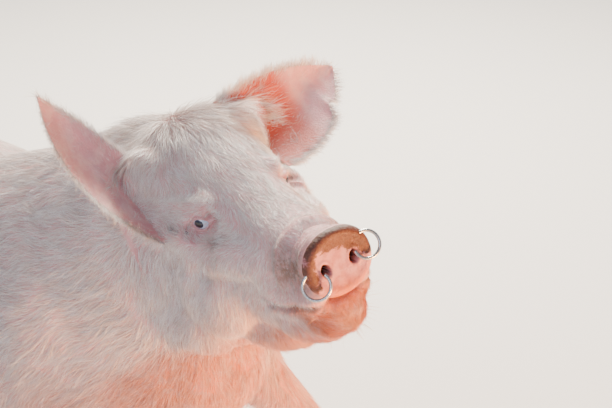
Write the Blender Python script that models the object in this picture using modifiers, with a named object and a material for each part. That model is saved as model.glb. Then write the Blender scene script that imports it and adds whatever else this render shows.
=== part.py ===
"""A life-size Large White sow on a floor: left foreleg a step forward, head raised and turned right.

Metres. +X runs forward, +Y to the sow's left, +Z up, and the soles stand on z = 0.
The flesh is lofted and blended as one body, then parted by thin slabs into named nodes.
"""

import math

import bmesh
import bpy
import numpy as np
from mathutils import Matrix, Vector

# ---------------------------------------------------------------- driving dimensions

TRUNK_HALF = 0.212  # half the width of the ribs
HEAD_YAW = math.radians(-27)  # towards the right
HEAD_PITCH = math.radians(14)  # snout up
HEAD_ROLL = math.radians(12)  # left side up
EYE_MID = Vector((0.735, -0.08, 0.845))
EYE_Y = 0.056  # eyeball centre from the head's mid plane
EYE_X = 0.002
EYE_RADIUS = 0.0125
LID_OPENING = (0.0135, 0.012, 0.0095)  # half length, depth and half height
LID_OUT = 0.008  # middle of the lids' opening, outside the eyeball
SNOUT_X = 0.204  # face of the nose disc, ahead of the eyes
SNOUT_Z = -0.043
SNOUT_HALF = 0.0465
SNOUT_RISE = 0.041
NOSTRIL_Y = 0.020
NOSTRIL = (0.015, 0.0062, 0.0085)  # depth, half width and half height
TAIL_ROOT = Vector((-0.470, 0, 0.672))
HOOF_HEIGHT = 0.040
HOOF_LENGTH = 0.052
HOOF_WIDTH = 0.032
CLAW_APART = 0.035  # between the middles of a foot's two claws
EAR_THICKNESS = 0.006
RING_RADIUS = 0.0162  # to the middle of the wire
RING_WIRE = 0.0020

MOUTH_X = 0.070  # corner of the mouth
MOUTH_Z = -0.098
MOUTH_DEPTH = 0.006

GAP = 0.0004  # between neighbouring solids
REGION_MARGIN = 0.012  # round a leg's own flesh, where it is parted from the trunk
VOXEL = 0.005
BODY_SHARE = 0.0146  # of the blended skin's faces that stay
BODY_WEIGHT = 0.3  # how strongly the thinning follows its weights
HEAD_SPARED = 0.75  # weight taken off the head when the skin is thinned
FOOT_SPARED = 0.35  # share of that for the lower legs
LOWER_LEG = 0.30  # height under which a leg counts as lower leg
FLESH = (0.87, 0.62, 0.55, 1)
HORN = (0.42, 0.33, 0.25, 1)
STEEL = (0.62, 0.63, 0.64, 1)
EYE_DARK = (0.03, 0.035, 0.06, 1)

HEAD = (
    Matrix.Translation(EYE_MID)
    @ Matrix.Rotation(HEAD_YAW, 4, "Z")
    @ Matrix.Rotation(-HEAD_PITCH, 4, "Y")
    @ Matrix.Rotation(HEAD_ROLL, 4, "X")
)
SIDES = {"left": 1, "right": -1}

# ---------------------------------------------------------------- lofts and blobs


def spread(rows, steps):
    """Rows of numbers, with a Catmull-Rom curve run through each gap between them."""
    rows = np.array(rows, float)
    padded = np.vstack([2 * rows[0] - rows[1], rows, 2 * rows[-1] - rows[-2]])
    out = []
    for a, b, c, d in zip(padded, padded[1:], padded[2:], padded[3:]):
        for k in range(steps):
            t = k / steps
            line = 0.5 * t * (c - a)
            bend = t * t * (a - 2.5 * b + 2 * c - 0.5 * d)
            twist = t**3 * (1.5 * (b - c) + 0.5 * (d - a))
            out.append(b + line + bend + twist)
    out.append(rows[-1])
    return np.array(out)


def skin_rings(bm, rings):
    """Joins rings of equal length into one closed body."""
    rings = [[bm.verts.new(point) for point in ring] for ring in rings]
    for one, two in zip(rings, rings[1:]):
        for k in range(len(one)):
            bm.faces.new((one[k - 1], one[k], two[k], two[k - 1]))
    bm.faces.new(rings[0])
    bm.faces.new(rings[-1][::-1])


def loft(bm, rows, place=None, steps=4, sides=28):
    """A closed body through rows of x, y, z, half width, rise, drop and squareness.

    Rise is towards the upper side of a level path and the front of an upright one.
    """
    place = place or Matrix()
    rows = spread(rows, steps)
    centres = rows[:, :3]
    rings = []
    for row, centre, way in zip(rows, centres, np.gradient(centres, axis=0)):
        way = Vector(way).normalized()
        across = Vector((0, 1, 0))
        across = (across - way * way.dot(across)).normalized()
        upward = way.cross(across)
        half, rise, drop, power = row[3:7]
        ring = []
        for k in range(sides):
            c = math.cos(2 * math.pi * k / sides)
            s = math.sin(2 * math.pi * k / sides)
            u = math.copysign(abs(c) ** (2 / power), c) * half
            v = math.copysign(abs(s) ** (2 / power), s) * (rise if s > 0 else drop)
            ring.append(place @ (Vector(centre) + across * u + upward * v))
        rings.append(ring)
    skin_rings(bm, rings)


def blob(bm, centre, radii, place=None, turn=(0, 0, 0)):
    """An ellipsoid with the given radii, turned by Euler angles in degrees."""
    spin = Matrix.Rotation(math.radians(turn[2]), 4, "Z")
    spin = spin @ Matrix.Rotation(math.radians(turn[1]), 4, "Y")
    spin = spin @ Matrix.Rotation(math.radians(turn[0]), 4, "X")
    matrix = (place or Matrix()) @ Matrix.Translation(centre) @ spin @ Matrix.Diagonal((*radii, 1))
    bmesh.ops.create_icosphere(bm, subdivisions=3, radius=1, matrix=matrix)


# ---------------------------------------------------------------- trunk and neck

# x, top, bottom, share of the full width, share of the height at which it is widest, squareness
TRUNK = (
    (-0.500, 0.675, 0.570, 0.20, 0.50, 2.0),
    (-0.484, 0.708, 0.500, 0.46, 0.55, 2.1),
    (-0.450, 0.735, 0.435, 0.68, 0.56, 2.2),
    (-0.370, 0.760, 0.385, 0.86, 0.56, 2.3),
    (-0.250, 0.772, 0.350, 0.94, 0.55, 2.3),
    (-0.090, 0.770, 0.325, 0.99, 0.53, 2.2),
    (0.070, 0.756, 0.318, 1.00, 0.52, 2.1),
    (0.200, 0.748, 0.326, 0.98, 0.48, 2.0),
    (0.320, 0.775, 0.343, 0.94, 0.40, 2.0),
    (0.430, 0.805, 0.362, 0.87, 0.36, 2.0),
    (0.530, 0.815, 0.392, 0.74, 0.34, 2.0),
    (0.610, 0.770, 0.436, 0.56, 0.34, 2.0),
    (0.660, 0.690, 0.490, 0.38, 0.40, 2.0),
    (0.685, 0.620, 0.535, 0.20, 0.50, 2.0),
)
NECK = (
    (0.330, 0.000, 0.605, 0.165, 0.165, 0.200, 2.1),
    (0.430, -0.003, 0.655, 0.156, 0.154, 0.215, 2.1),
    (0.520, -0.007, 0.708, 0.144, 0.145, 0.210, 2.1),
    (0.590, -0.018, 0.758, 0.130, 0.138, 0.195, 2.1),
    (0.640, -0.040, 0.785, 0.112, 0.120, 0.160, 2.1),
)


def trunk_rows():
    rows = []
    for x, top, bottom, share, level, power in TRUNK:
        middle = bottom + level * (top - bottom)
        rows.append((x, 0, middle, share * TRUNK_HALF, top - middle, middle - bottom, power))
    return rows


# ---------------------------------------------------------------- head, in its own frame

# ahead of the eyes, height of the widest point, half width, height above and below it, squareness
SKULL = (
    (-0.190, -0.060, 0.100, 0.100, 0.150, 2.2),
    (-0.150, -0.058, 0.110, 0.138, 0.170, 2.2),
    (-0.105, -0.054, 0.109, 0.160, 0.170, 2.2),
    (-0.060, -0.048, 0.098, 0.146, 0.158, 2.2),
    (-0.020, -0.045, 0.084, 0.112, 0.144, 2.2),
    (0.020, -0.046, 0.067, 0.085, 0.131, 2.2),
    (0.060, -0.049, 0.058, 0.067, 0.119, 2.2),
    (0.100, -0.052, 0.052, 0.056, 0.109, 2.3),
    (0.138, -0.056, 0.048, 0.051, 0.100, 2.3),
    (0.166, -0.062, 0.042, 0.049, 0.086, 2.2),
)
# behind the disc's face, and the share of its half width and half height
SNOUT = (
    (0.095, 0.80, 0.86),
    (0.060, 0.83, 0.88),
    (0.034, 0.86, 0.89),
    (0.020, 0.93, 0.94),
    (0.010, 1.00, 1.00),
    (0.003, 0.985, 0.98),
    (0.000, 0.90, 0.89),
)


def skull_rows():
    return [(x, 0, z, half, rise, drop, power) for x, z, half, rise, drop, power in SKULL]


def snout_rows():
    rows = []
    for back, wide, high in SNOUT:
        rise = SNOUT_RISE * high
        rows.append((SNOUT_X - back, 0, SNOUT_Z, SNOUT_HALF * wide, rise, rise, 2.15))
    return rows


def head_forms(bm):
    loft(bm, skull_rows(), HEAD)
    loft(bm, snout_rows(), HEAD, steps=3)
    for way in SIDES.values():
        blob(bm, (-0.050, 0.062 * way, -0.100), (0.090, 0.042, 0.074), HEAD)  # cheek
        blob(bm, (-0.115, 0.060 * way, -0.150), (0.085, 0.058, 0.066), HEAD)  # jowl
        blob(bm, (-0.010, 0.049 * way, 0.022), (0.036, 0.017, 0.017), HEAD)  # brow
        blob(bm, (-0.050, 0.076 * way, -0.018), (0.060, 0.026, 0.022), HEAD)  # cheekbone
        spread_back = (0, 0, -21 * way)
        blob(bm, (0.042, 0.050 * way, -0.042), (0.092, 0.031, 0.030), HEAD, spread_back)  # face's side
        blob(bm, (-0.105, 0.067 * way, 0.045), (0.043, 0.034, 0.050), HEAD, (0, 30, 0))  # ear root
        blob(bm, (0.110, 0.028 * way, -0.080), (0.060, 0.026, 0.024), HEAD)  # upper lip
    blob(bm, (0.146, 0, -0.118), (0.043, 0.040, 0.034), HEAD)  # chin
    blob(bm, (0.088, 0, -0.134), (0.072, 0.042, 0.039), HEAD)  # jaw
    blob(bm, (-0.040, 0, -0.152), (0.110, 0.060, 0.050), HEAD, (0, 12, 0))  # throat


# ---------------------------------------------------------------- legs

# joints from the trunk down: x, y, z, half width, forward, backward
LEGS = {
    "foreleg_left": (
        (0.530, 0.108, 0.540, 0.060, 0.085, 0.085),
        (0.575, 0.124, 0.465, 0.058, 0.074, 0.072),
        (0.610, 0.142, 0.415, 0.046, 0.050, 0.052),
        (0.650, 0.166, 0.365, 0.036, 0.037, 0.038),
        (0.692, 0.186, 0.300, 0.032, 0.033, 0.033),
        (0.724, 0.196, 0.240, 0.036, 0.036, 0.034),
        (0.744, 0.198, 0.185, 0.029, 0.028, 0.028),
        (0.760, 0.200, 0.120, 0.032, 0.030, 0.033),
        (0.776, 0.201, 0.080, 0.032, 0.028, 0.030),
        (0.794, 0.202, 0.050, 0.031, 0.028, 0.026),
        (0.804, 0.202, 0.030, 0.026, 0.024, 0.022),
    ),
    "foreleg_right": (
        (0.440, -0.104, 0.560, 0.066, 0.105, 0.115),
        (0.430, -0.118, 0.460, 0.064, 0.084, 0.092),
        (0.412, -0.128, 0.380, 0.052, 0.058, 0.060),
        (0.398, -0.134, 0.300, 0.041, 0.043, 0.044),
        (0.386, -0.137, 0.240, 0.035, 0.034, 0.035),
        (0.380, -0.138, 0.200, 0.037, 0.037, 0.035),
        (0.370, -0.139, 0.155, 0.029, 0.028, 0.028),
        (0.364, -0.140, 0.108, 0.032, 0.030, 0.033),
        (0.374, -0.140, 0.075, 0.032, 0.028, 0.030),
        (0.390, -0.140, 0.050, 0.031, 0.028, 0.026),
        (0.400, -0.140, 0.030, 0.026, 0.024, 0.022),
    ),
    "hindleg_left": (
        (-0.340, 0.108, 0.600, 0.080, 0.140, 0.130),
        (-0.300, 0.128, 0.500, 0.074, 0.120, 0.120),
        (-0.288, 0.138, 0.425, 0.058, 0.094, 0.094),
        (-0.318, 0.140, 0.350, 0.043, 0.058, 0.058),
        (-0.352, 0.140, 0.292, 0.034, 0.042, 0.042),
        (-0.366, 0.140, 0.250, 0.035, 0.040, 0.038),
        (-0.356, 0.140, 0.190, 0.029, 0.030, 0.029),
        (-0.344, 0.140, 0.118, 0.032, 0.029, 0.033),
        (-0.332, 0.140, 0.080, 0.032, 0.028, 0.030),
        (-0.316, 0.140, 0.050, 0.031, 0.028, 0.026),
        (-0.306, 0.140, 0.030, 0.026, 0.024, 0.022),
    ),
    "hindleg_right": (
        (-0.350, -0.108, 0.600, 0.080, 0.140, 0.130),
        (-0.330, -0.128, 0.500, 0.074, 0.120, 0.120),
        (-0.340, -0.138, 0.425, 0.058, 0.094, 0.094),
        (-0.384, -0.140, 0.350, 0.043, 0.058, 0.058),
        (-0.425, -0.140, 0.295, 0.034, 0.042, 0.042),
        (-0.442, -0.140, 0.255, 0.035, 0.040, 0.038),
        (-0.444, -0.140, 0.190, 0.029, 0.030, 0.029),
        (-0.440, -0.140, 0.118, 0.032, 0.029, 0.033),
        (-0.430, -0.140, 0.080, 0.032, 0.028, 0.030),
        (-0.414, -0.140, 0.050, 0.031, 0.028, 0.026),
        (-0.404, -0.140, 0.030, 0.026, 0.024, 0.022),
    ),
}


def leg_rows(name):
    return [(*joint, 2.1) for joint in LEGS[name]]


def limb_forms(bm):
    for name in LEGS:
        loft(bm, leg_rows(name), sides=20)
    for way in SIDES.values():
        blob(bm, (-0.365, 0.098 * way, 0.565), (0.140, 0.088, 0.170), turn=(0, 15, 0))  # ham
    blob(bm, (0.530, 0.102, 0.520), (0.120, 0.072, 0.135), turn=(0, -35, 0))  # left shoulder
    blob(bm, (0.420, -0.108, 0.560), (0.105, 0.080, 0.160), turn=(0, 5, 0))  # right shoulder


def body_forms(bm):
    loft(bm, trunk_rows(), sides=36)
    loft(bm, NECK, sides=32)
    head_forms(bm)
    limb_forms(bm)


# ---------------------------------------------------------------- meshes and materials


def mesh_object(name, bm):
    mesh = bpy.data.meshes.new(name)
    bmesh.ops.recalc_face_normals(bm, faces=bm.faces)
    bm.to_mesh(mesh)
    bm.free()
    made = bpy.data.objects.new(name, mesh)
    bpy.context.scene.collection.objects.link(made)
    return made


def settle(made):
    """Applies the object's modifiers."""
    graph = bpy.context.evaluated_depsgraph_get()
    mesh = bpy.data.meshes.new_from_object(made.evaluated_get(graph))
    made.modifiers.clear()
    made.data = mesh
    return made


def boolean(made, other, operation):
    cut = made.modifiers.new("cut", "BOOLEAN")
    cut.operation = operation
    cut.object = other
    cut.solver = "EXACT"
    return settle(made)


def copy_of(made, name):
    twin = made.copy()
    twin.data = made.data.copy()
    twin.name = name
    bpy.context.scene.collection.objects.link(twin)
    return twin


def swollen(made, name, by):
    """A copy whose skin stands out by a small distance."""
    twin = copy_of(made, name)
    moved = [vertex.co + vertex.normal * by for vertex in twin.data.vertices]
    for vertex, place in zip(twin.data.vertices, moved):
        vertex.co = place
    return twin


def parted(made):
    """The loose bodies of a mesh, as bmeshes, largest first."""
    bm = bmesh.new()
    bm.from_mesh(made.data)
    left = set(bm.verts)
    groups = []
    while left:
        seed = left.pop()
        group = {seed}
        edge_front = [seed]
        while edge_front:
            vertex = edge_front.pop()
            for edge in vertex.link_edges:
                other = edge.other_vert(vertex)
                if other in left:
                    left.discard(other)
                    group.add(other)
                    edge_front.append(other)
        groups.append({vertex.index for vertex in group})
    bm.free()
    groups.sort(key=len, reverse=True)
    bodies = []
    for group in groups:
        piece = bmesh.new()
        piece.from_mesh(made.data)
        piece.verts.ensure_lookup_table()
        gone = [vertex for vertex in piece.verts if vertex.index not in group]
        bmesh.ops.delete(piece, geom=gone, context="VERTS")
        bodies.append(piece)
    return bodies


def keep_largest(made):
    bodies = parted(made)
    bodies[0].to_mesh(made.data)
    for piece in bodies:
        piece.free()
    return made


def material(name, colour, roughness, metallic=0.0):
    made = bpy.data.materials.new(name)
    made.use_nodes = True
    shader = made.node_tree.nodes["Principled BSDF"]
    shader.inputs["Base Color"].default_value = colour
    shader.inputs["Roughness"].default_value = roughness
    shader.inputs["Metallic"].default_value = metallic
    return made


# ---------------------------------------------------------------- the fused flesh


def fused_body():
    """All of the flesh but the ears and the tail, blended into one skin."""
    bm = bmesh.new()
    body_forms(bm)
    body = mesh_object("body", bm)
    remesh = body.modifiers.new("blend", "REMESH")
    remesh.mode = "VOXEL"
    remesh.voxel_size = VOXEL
    smooth = body.modifiers.new("soften", "SMOOTH")
    smooth.factor = 0.5
    smooth.iterations = 12
    settle(body)
    press_mouth(body)
    thin = body.modifiers.new("thin", "DECIMATE")
    thin.ratio = BODY_SHARE
    thin.vertex_group = weigh_body(body)
    thin.vertex_group_factor = BODY_WEIGHT
    return settle(body)


def press_mouth(body):
    """Presses the mouth's line into the head, from its corners to under the disc."""
    inverse = HEAD.inverted()
    for vertex in body.data.vertices:
        x, y, z = inverse @ vertex.co
        line = MOUTH_Z - 0.004 + 0.10 * (x - MOUTH_X) * (SNOUT_X - x) / (SNOUT_X - MOUTH_X)
        along = min(1, max(0, (x - MOUTH_X) / 0.02)) * (x < SNOUT_X)
        depth = MOUTH_DEPTH * along * math.exp(-(((z - line) / 0.0055) ** 2))
        if depth > 1e-5:
            vertex.co -= vertex.normal * depth


def weigh_body(body):
    """Weights for thinning: the head keeps the most faces, the trunk the fewest."""
    group = body.vertex_groups.new(name="thinning")
    inverse = HEAD.inverted()
    for vertex in body.data.vertices:
        ahead = (inverse @ vertex.co).x
        share = min(1, max(0, (ahead + 0.20) / 0.16))
        if vertex.co.z < LOWER_LEG:
            share = FOOT_SPARED
        group.add([vertex.index], 1 - HEAD_SPARED * share, "REPLACE")
    return group.name


# middle and facing of the slab behind the head, in the head's frame, and of that before the trunk
THROAT_CUT = ((-0.115, 0, -0.070), (0.93, 0, 0.36))
SHOULDER_CUT = ((0.470, 0, 0.655), (0.455, 0, 0.89))


def leg_region(name, swell):
    """The space that a leg takes out of the body, its top a dome inside the trunk."""
    joints = [list(joint) for joint in LEGS[name]]
    dome = list(joints[0])
    dome[2] += 0.058
    dome[3:6] = [radius * 0.45 for radius in joints[0][3:6]]
    foot = list(joints[-1])
    foot[2] = -0.05
    rows = []
    for joint in [dome] + joints + [foot]:
        x, y, z, half, ahead, behind = joint
        margin = REGION_MARGIN + swell
        rows.append((x, y, z, half + margin, ahead + margin, behind + margin, 2.1))
    bm = bmesh.new()
    loft(bm, rows, steps=1, sides=16)
    bmesh.ops.triangulate(bm, faces=bm.faces, quad_method="FIXED")  # alike for every swell
    return mesh_object("region", bm)


def slab(centre, normal, long_side, wide_side):
    """A thin box across the body: its face looks along normal, its width lies along Y."""
    normal = Vector(normal).normalized()
    across = (Vector((0, 1, 0)) - normal * normal.y).normalized()
    down = across.cross(normal)
    turn = Matrix((down, across, normal)).transposed().to_4x4()
    size = Matrix.Diagonal((long_side, wide_side, GAP, 1))
    bm = bmesh.new()
    bmesh.ops.create_cube(bm, size=1, matrix=Matrix.Translation(centre) @ turn @ size)
    return mesh_object("slab", bm)


def discard(made):
    bpy.data.objects.remove(made)


def part_body(body):
    """Legs first, then the head and the neck. Returns the named flesh."""
    flesh = {}
    for name in LEGS:
        inner = leg_region(name, 0)
        outer = leg_region(name, GAP)
        leg = boolean(copy_of(body, name), inner, "INTERSECT")
        flesh[name] = keep_largest(leg)
        boolean(body, outer, "DIFFERENCE")
        discard(inner)
        discard(outer)
    throat = HEAD @ Vector(THROAT_CUT[0])
    for cut in (
        slab(throat, HEAD.to_3x3() @ Vector(THROAT_CUT[1]), 0.46, 0.40),
        slab(Vector(SHOULDER_CUT[0]), Vector(SHOULDER_CUT[1]), 0.62, 0.50),
    ):
        boolean(body, cut, "DIFFERENCE")
        discard(cut)
    for name, piece in zip(("trunk", "head", "neck"), sort_by_place(parted(body))):
        flesh[name] = mesh_object(name, piece)
    discard(body)
    return flesh


def sort_by_place(bodies):
    """The three largest bodies as trunk, head and neck."""
    three = sorted(bodies[:3], key=lambda bm: sum(v.co.x for v in bm.verts) / len(bm.verts))
    for piece in bodies[3:]:
        piece.free()
    return three[0], three[2], three[1]


# ---------------------------------------------------------------- ears

# base at the crown, base at the cheek, tip and facing, in the head's frame
EARS = {
    "left": (
        (-0.117, 0.097, 0.104),
        (-0.042, 0.112, 0.000),
        (-0.130, 0.250, 0.064),
        (0.89, 0.0, 0.45),
    ),
    "right": (
        (-0.122, -0.090, 0.106),
        (-0.042, -0.110, 0.000),
        (-0.092, -0.169, 0.208),
        (0.90, -0.1, 0.40),
    ),
}
# how far the middle of the crown's edge and of the cheek's edge is pushed out
EAR_PUSH = {
    "left": ((-0.012, -0.003, 0.018), (0.034, 0.008, -0.044)),
    "right": ((0.004, 0.006, -0.008), (-0.016, -0.052, -0.023)),
}
EAR_CUP = 0.026  # depth of the hollow at the base
EAR_NICK = 0.011  # out of the left ear's lower edge
EAR_STEPS = 12


def bezier(a, b, c, t):
    return a * (1 - t) ** 2 + b * 2 * t * (1 - t) + c * t**2


def ear_point(side, along, across, behind):
    """A point of the ear: along from base to tip, across from the crown's edge to the cheek's."""
    crown, cheek, tip, facing = (Vector(v) for v in EARS[side])
    facing.normalize()
    axis = (tip - (crown + cheek) / 2).normalized()
    crown_push, cheek_push = (Vector(v) for v in EAR_PUSH[side])
    crown_edge = bezier(crown, crown.lerp(tip, 0.5) + crown_push, tip, along)
    cheek_edge = bezier(cheek, cheek.lerp(tip, 0.5) + cheek_push, tip, along)
    if side == "left":
        nick = EAR_NICK * math.exp(-(((along - 0.66) / 0.05) ** 2))
        cheek_edge = cheek_edge + (crown_edge - cheek_edge).normalized() * nick
    middle = crown_edge.lerp(cheek_edge, across)
    bow = 1 - (2 * across - 1) ** 2
    cup = EAR_CUP * (1 - along) ** 0.8 * bow
    thick = EAR_THICKNESS * (0.35 + 0.65 * bow) * (1 - 0.5 * along)
    return middle - facing * (cup + thick * behind) - axis * 0.02 * (1 - along) ** 4


def make_ear(side):
    rings = []
    for k in range(EAR_STEPS + 1):
        along = 0.985 * k / EAR_STEPS
        front = [ear_point(side, along, j / 5, 0) for j in range(6)]
        back = [ear_point(side, along, j / 5, 1) for j in range(5, -1, -1)]
        rings.append([HEAD @ point for point in front + back])
    bm = bmesh.new()
    skin_rings(bm, rings)
    return mesh_object("ear_" + side, bm)


# ---------------------------------------------------------------- eyes, nostrils and nose rings


def ellipsoid(name, centre, radii):
    """An ellipsoid in the head's frame."""
    bm = bmesh.new()
    askew = Matrix.Rotation(0.3, 4, Vector((1, 2, 3)))  # keeps its corners off the head's planes
    matrix = HEAD @ Matrix.Translation(centre) @ Matrix.Diagonal((*radii, 1)) @ askew
    bmesh.ops.create_icosphere(bm, subdivisions=2, radius=1, matrix=matrix)
    return mesh_object(name, bm)


def hollow(head, centre, radii):
    """Takes an ellipsoid out of the head."""
    cutter = ellipsoid("hollow", centre, radii)
    boolean(head, cutter, "DIFFERENCE")
    discard(cutter)


def make_eye(side, head):
    """Cuts the socket and the opening of the lids, and returns the eyeball."""
    way = SIDES[side]
    hollow(head, (EYE_X, EYE_Y * way, 0), (EYE_RADIUS + GAP,) * 3)
    hollow(head, (EYE_X, (EYE_Y + EYE_RADIUS + LID_OUT) * way, 0), LID_OPENING)
    return ellipsoid("eye_" + side, (EYE_X, EYE_Y * way, 0), (EYE_RADIUS,) * 3)


def cut_nostrils(head):
    for way in SIDES.values():
        hollow(head, (SNOUT_X - 0.003, NOSTRIL_Y * way, SNOUT_Z - 0.002), NOSTRIL)


# centre from the disc's centre (ahead, left, up) and the way that the ring faces
RINGS = {
    "left": ((0.004, 0.0375, 0.005), (0.95, -0.10, 0.30), math.radians(150)),
    "right": ((0.003, -0.0395, -0.011), (0.86, -0.40, 0.32), math.radians(70)),
}


def ring_wire(name, side, wire, opening):
    """A round wire bent into a ring, open by the given angle where it is hidden."""
    offset, facing, hidden = RINGS[side]
    centre = Vector((SNOUT_X, 0, SNOUT_Z)) + Vector(offset)
    turn = Vector(facing).to_track_quat("Z", "Y").to_matrix().to_4x4()
    place = HEAD @ Matrix.Translation(centre) @ turn
    steps = 20
    rings = []
    for k in range(steps + 1):
        angle = hidden + opening / 2 + (2 * math.pi - opening) * k / steps
        radial = Vector((math.cos(angle), math.sin(angle), 0))
        ring = []
        for j in range(6):
            around = 2 * math.pi * j / 6
            reach = RING_RADIUS + wire * math.cos(around)
            ring.append(place @ (radial * reach + Vector((0, 0, wire * math.sin(around)))))
        rings.append(ring)
    bm = bmesh.new()
    skin_rings(bm, rings)
    return mesh_object(name, bm)


def make_nose_ring(side, head):
    channel = ring_wire("channel", side, RING_WIRE + GAP, math.radians(14))
    boolean(head, channel, "DIFFERENCE")
    discard(channel)
    return ring_wire("nose_ring_" + side, side, RING_WIRE, math.radians(20))


# ---------------------------------------------------------------- tail and hooves


TAIL_STEPS = 19


def make_tail():
    """A tail with one loose curl and a flat tuft."""
    rows = []
    for k in range(TAIL_STEPS + 1):
        t = k / TAIL_STEPS
        if t < 0.25:
            u = t / 0.25
            place = TAIL_ROOT + Vector((-0.062 * u, 0.004 * u, -0.004 * u - 0.016 * u * u))
        else:
            u = (t - 0.25) / 0.75
            angle = math.radians(62 - 470 * u)
            middle = TAIL_ROOT + Vector((-0.076, 0.004 + 0.055 * u, -0.049 - 0.03 * u))
            place = middle + Vector((-math.cos(angle), 0, math.sin(angle))) * (0.033 - 0.006 * u)
        radius = 0.0165 - 0.0105 * t
        if t > 0.88:
            radius = 0.006 * (1 + 0.3 * math.sin(math.pi * (t - 0.88) / 0.12))
        rows.append((*place, radius, radius, radius, 2.0))
    bm = bmesh.new()
    loft(bm, rows, steps=1, sides=7)
    return mesh_object("tail", bm)


# middle of each foot on the floor and the way it points, in degrees to the left
FEET = {
    "foreleg_left": (0.812, 0.204, 8),
    "foreleg_right": (0.408, -0.141, -4),
    "hindleg_left": (-0.298, 0.141, 6),
    "hindleg_right": (-0.396, -0.141, -6),
}
CLAWS = {"inner": -1, "outer": 1}


def foot_frame(name):
    x, y, turn = FEET[name]
    return Matrix.Translation((x, y, 0)) @ Matrix.Rotation(math.radians(turn), 4, "Z")


def claw_side(foot, claw):
    """Which way a claw lies from its foot's middle: outer claws away from the body."""
    return CLAWS[claw] * (1 if foot.endswith("left") else -1)


def make_hoof(foot, claw):
    """One main claw: flat sole, sloping front wall, blunt toe."""
    way = claw_side(foot, claw)
    rings = []
    for share in (0.0, 0.12, 1.0):
        z = HOOF_HEIGHT * share
        size = 1 - 0.05 * (share == 0) - 0.20 * share
        ring = []
        for k in range(10):
            angle = 2 * math.pi * k / 10
            ahead = HOOF_LENGTH / 2 * math.cos(angle) * size - 0.017 * share
            pinch = 1 - 0.22 * math.cos(angle)
            across = HOOF_WIDTH / 2 * math.sin(angle) * pinch * size
            place = Vector((ahead, across + way * CLAW_APART / 2, z))
            ring.append(foot_frame(foot) @ place)
        rings.append(ring)
    bm = bmesh.new()
    skin_rings(bm, rings)
    return mesh_object(f"hoof_{foot}_{claw}", bm)


def make_dewclaw(foot, claw):
    """A small blunt claw behind the pastern, clear of the floor."""
    way = claw_side(foot, claw)
    tip = Vector((-0.062, way * 0.027, 0.038))
    root = Vector((-0.040, way * 0.018, 0.085))
    rows = []
    for share, radius in ((0, 0.011), (0.5, 0.010), (0.9, 0.006), (1, 0.003)):
        place = foot_frame(foot) @ root.lerp(tip, share)
        rows.append((*place, radius, radius, radius, 2.0))
    bm = bmesh.new()
    loft(bm, rows, steps=1, sides=6)
    return mesh_object(f"dewclaw_{foot}_{claw}", bm)


# ---------------------------------------------------------------- the sow


def cut_free(made, skin):
    """Cuts an attached piece back to the skin that it grows from."""
    return keep_largest(boolean(made, skin, "DIFFERENCE"))


def build():
    """Every named solid of the sow, by what it is made of."""
    body = fused_body()
    skin = swollen(body, "skin", GAP)
    hoof_skin = swollen(body, "hoof_skin", 2 * GAP)
    flesh = part_body(body)
    eyes = [make_eye(side, flesh["head"]) for side in SIDES]
    cut_nostrils(flesh["head"])
    rings = [make_nose_ring(side, flesh["head"]) for side in SIDES]
    ears = [cut_free(make_ear(side), skin) for side in SIDES]
    tail = cut_free(make_tail(), skin)
    horn = []
    for foot in LEGS:
        for claw in CLAWS:
            horn.append(cut_free(make_hoof(foot, claw), hoof_skin))
            horn.append(cut_free(make_dewclaw(foot, claw), hoof_skin))
    discard(skin)
    discard(hoof_skin)
    return list(flesh.values()) + ears + [tail], eyes, rings, horn


def finish(groups):
    """Names the collection, sets the materials and moves the origin under the sow's middle."""
    collection = bpy.data.collections.new("sow")
    bpy.context.scene.collection.children.link(collection)
    centre = bpy.data.objects.new("floor_point", None)
    collection.objects.link(centre)
    looks = (
        material("pink_skin", FLESH, 0.6),
        material("dark_eye", EYE_DARK, 0.08),
        material("steel", STEEL, 0.25, 1.0),
        material("horn", HORN, 0.45),
    )
    for group, look in zip(groups, looks):
        for made in group:
            made.data.materials.clear()
            made.data.materials.append(look)
            for polygon in made.data.polygons:
                polygon.material_index = 0
            made.data.shade_smooth()
            made.data.set_sharp_from_angle(angle=math.radians(40))
            bpy.context.scene.collection.objects.unlink(made)
            collection.objects.link(made)
            made.parent = centre
    corners = [vertex.co for group in groups for made in group for vertex in made.data.vertices]
    for axis in (0, 1):
        spread_out = [corner[axis] for corner in corners]
        centre.location[axis] = -(min(spread_out) + max(spread_out)) / 2


def clear_scene():
    for old in list(bpy.data.objects):
        bpy.data.objects.remove(old)


def main():
    clear_scene()
    finish(build())


if __name__ == "__main__":
    main()
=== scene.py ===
"""The looks of a life-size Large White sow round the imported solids: skin, coat, eyes, rings and claws.

Forms are worked out in the sow's own frame (+X forwards, +Y to its left, +Z up, soles at z = 0),
or in its head's frame (x ahead of the eyes, y to the left, z up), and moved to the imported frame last.
"""

import math

import bmesh
import bpy
import numpy as np
from mathutils import Matrix, Vector
from mathutils.bvhtree import BVHTree
from mathutils.kdtree import KDTree


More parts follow.
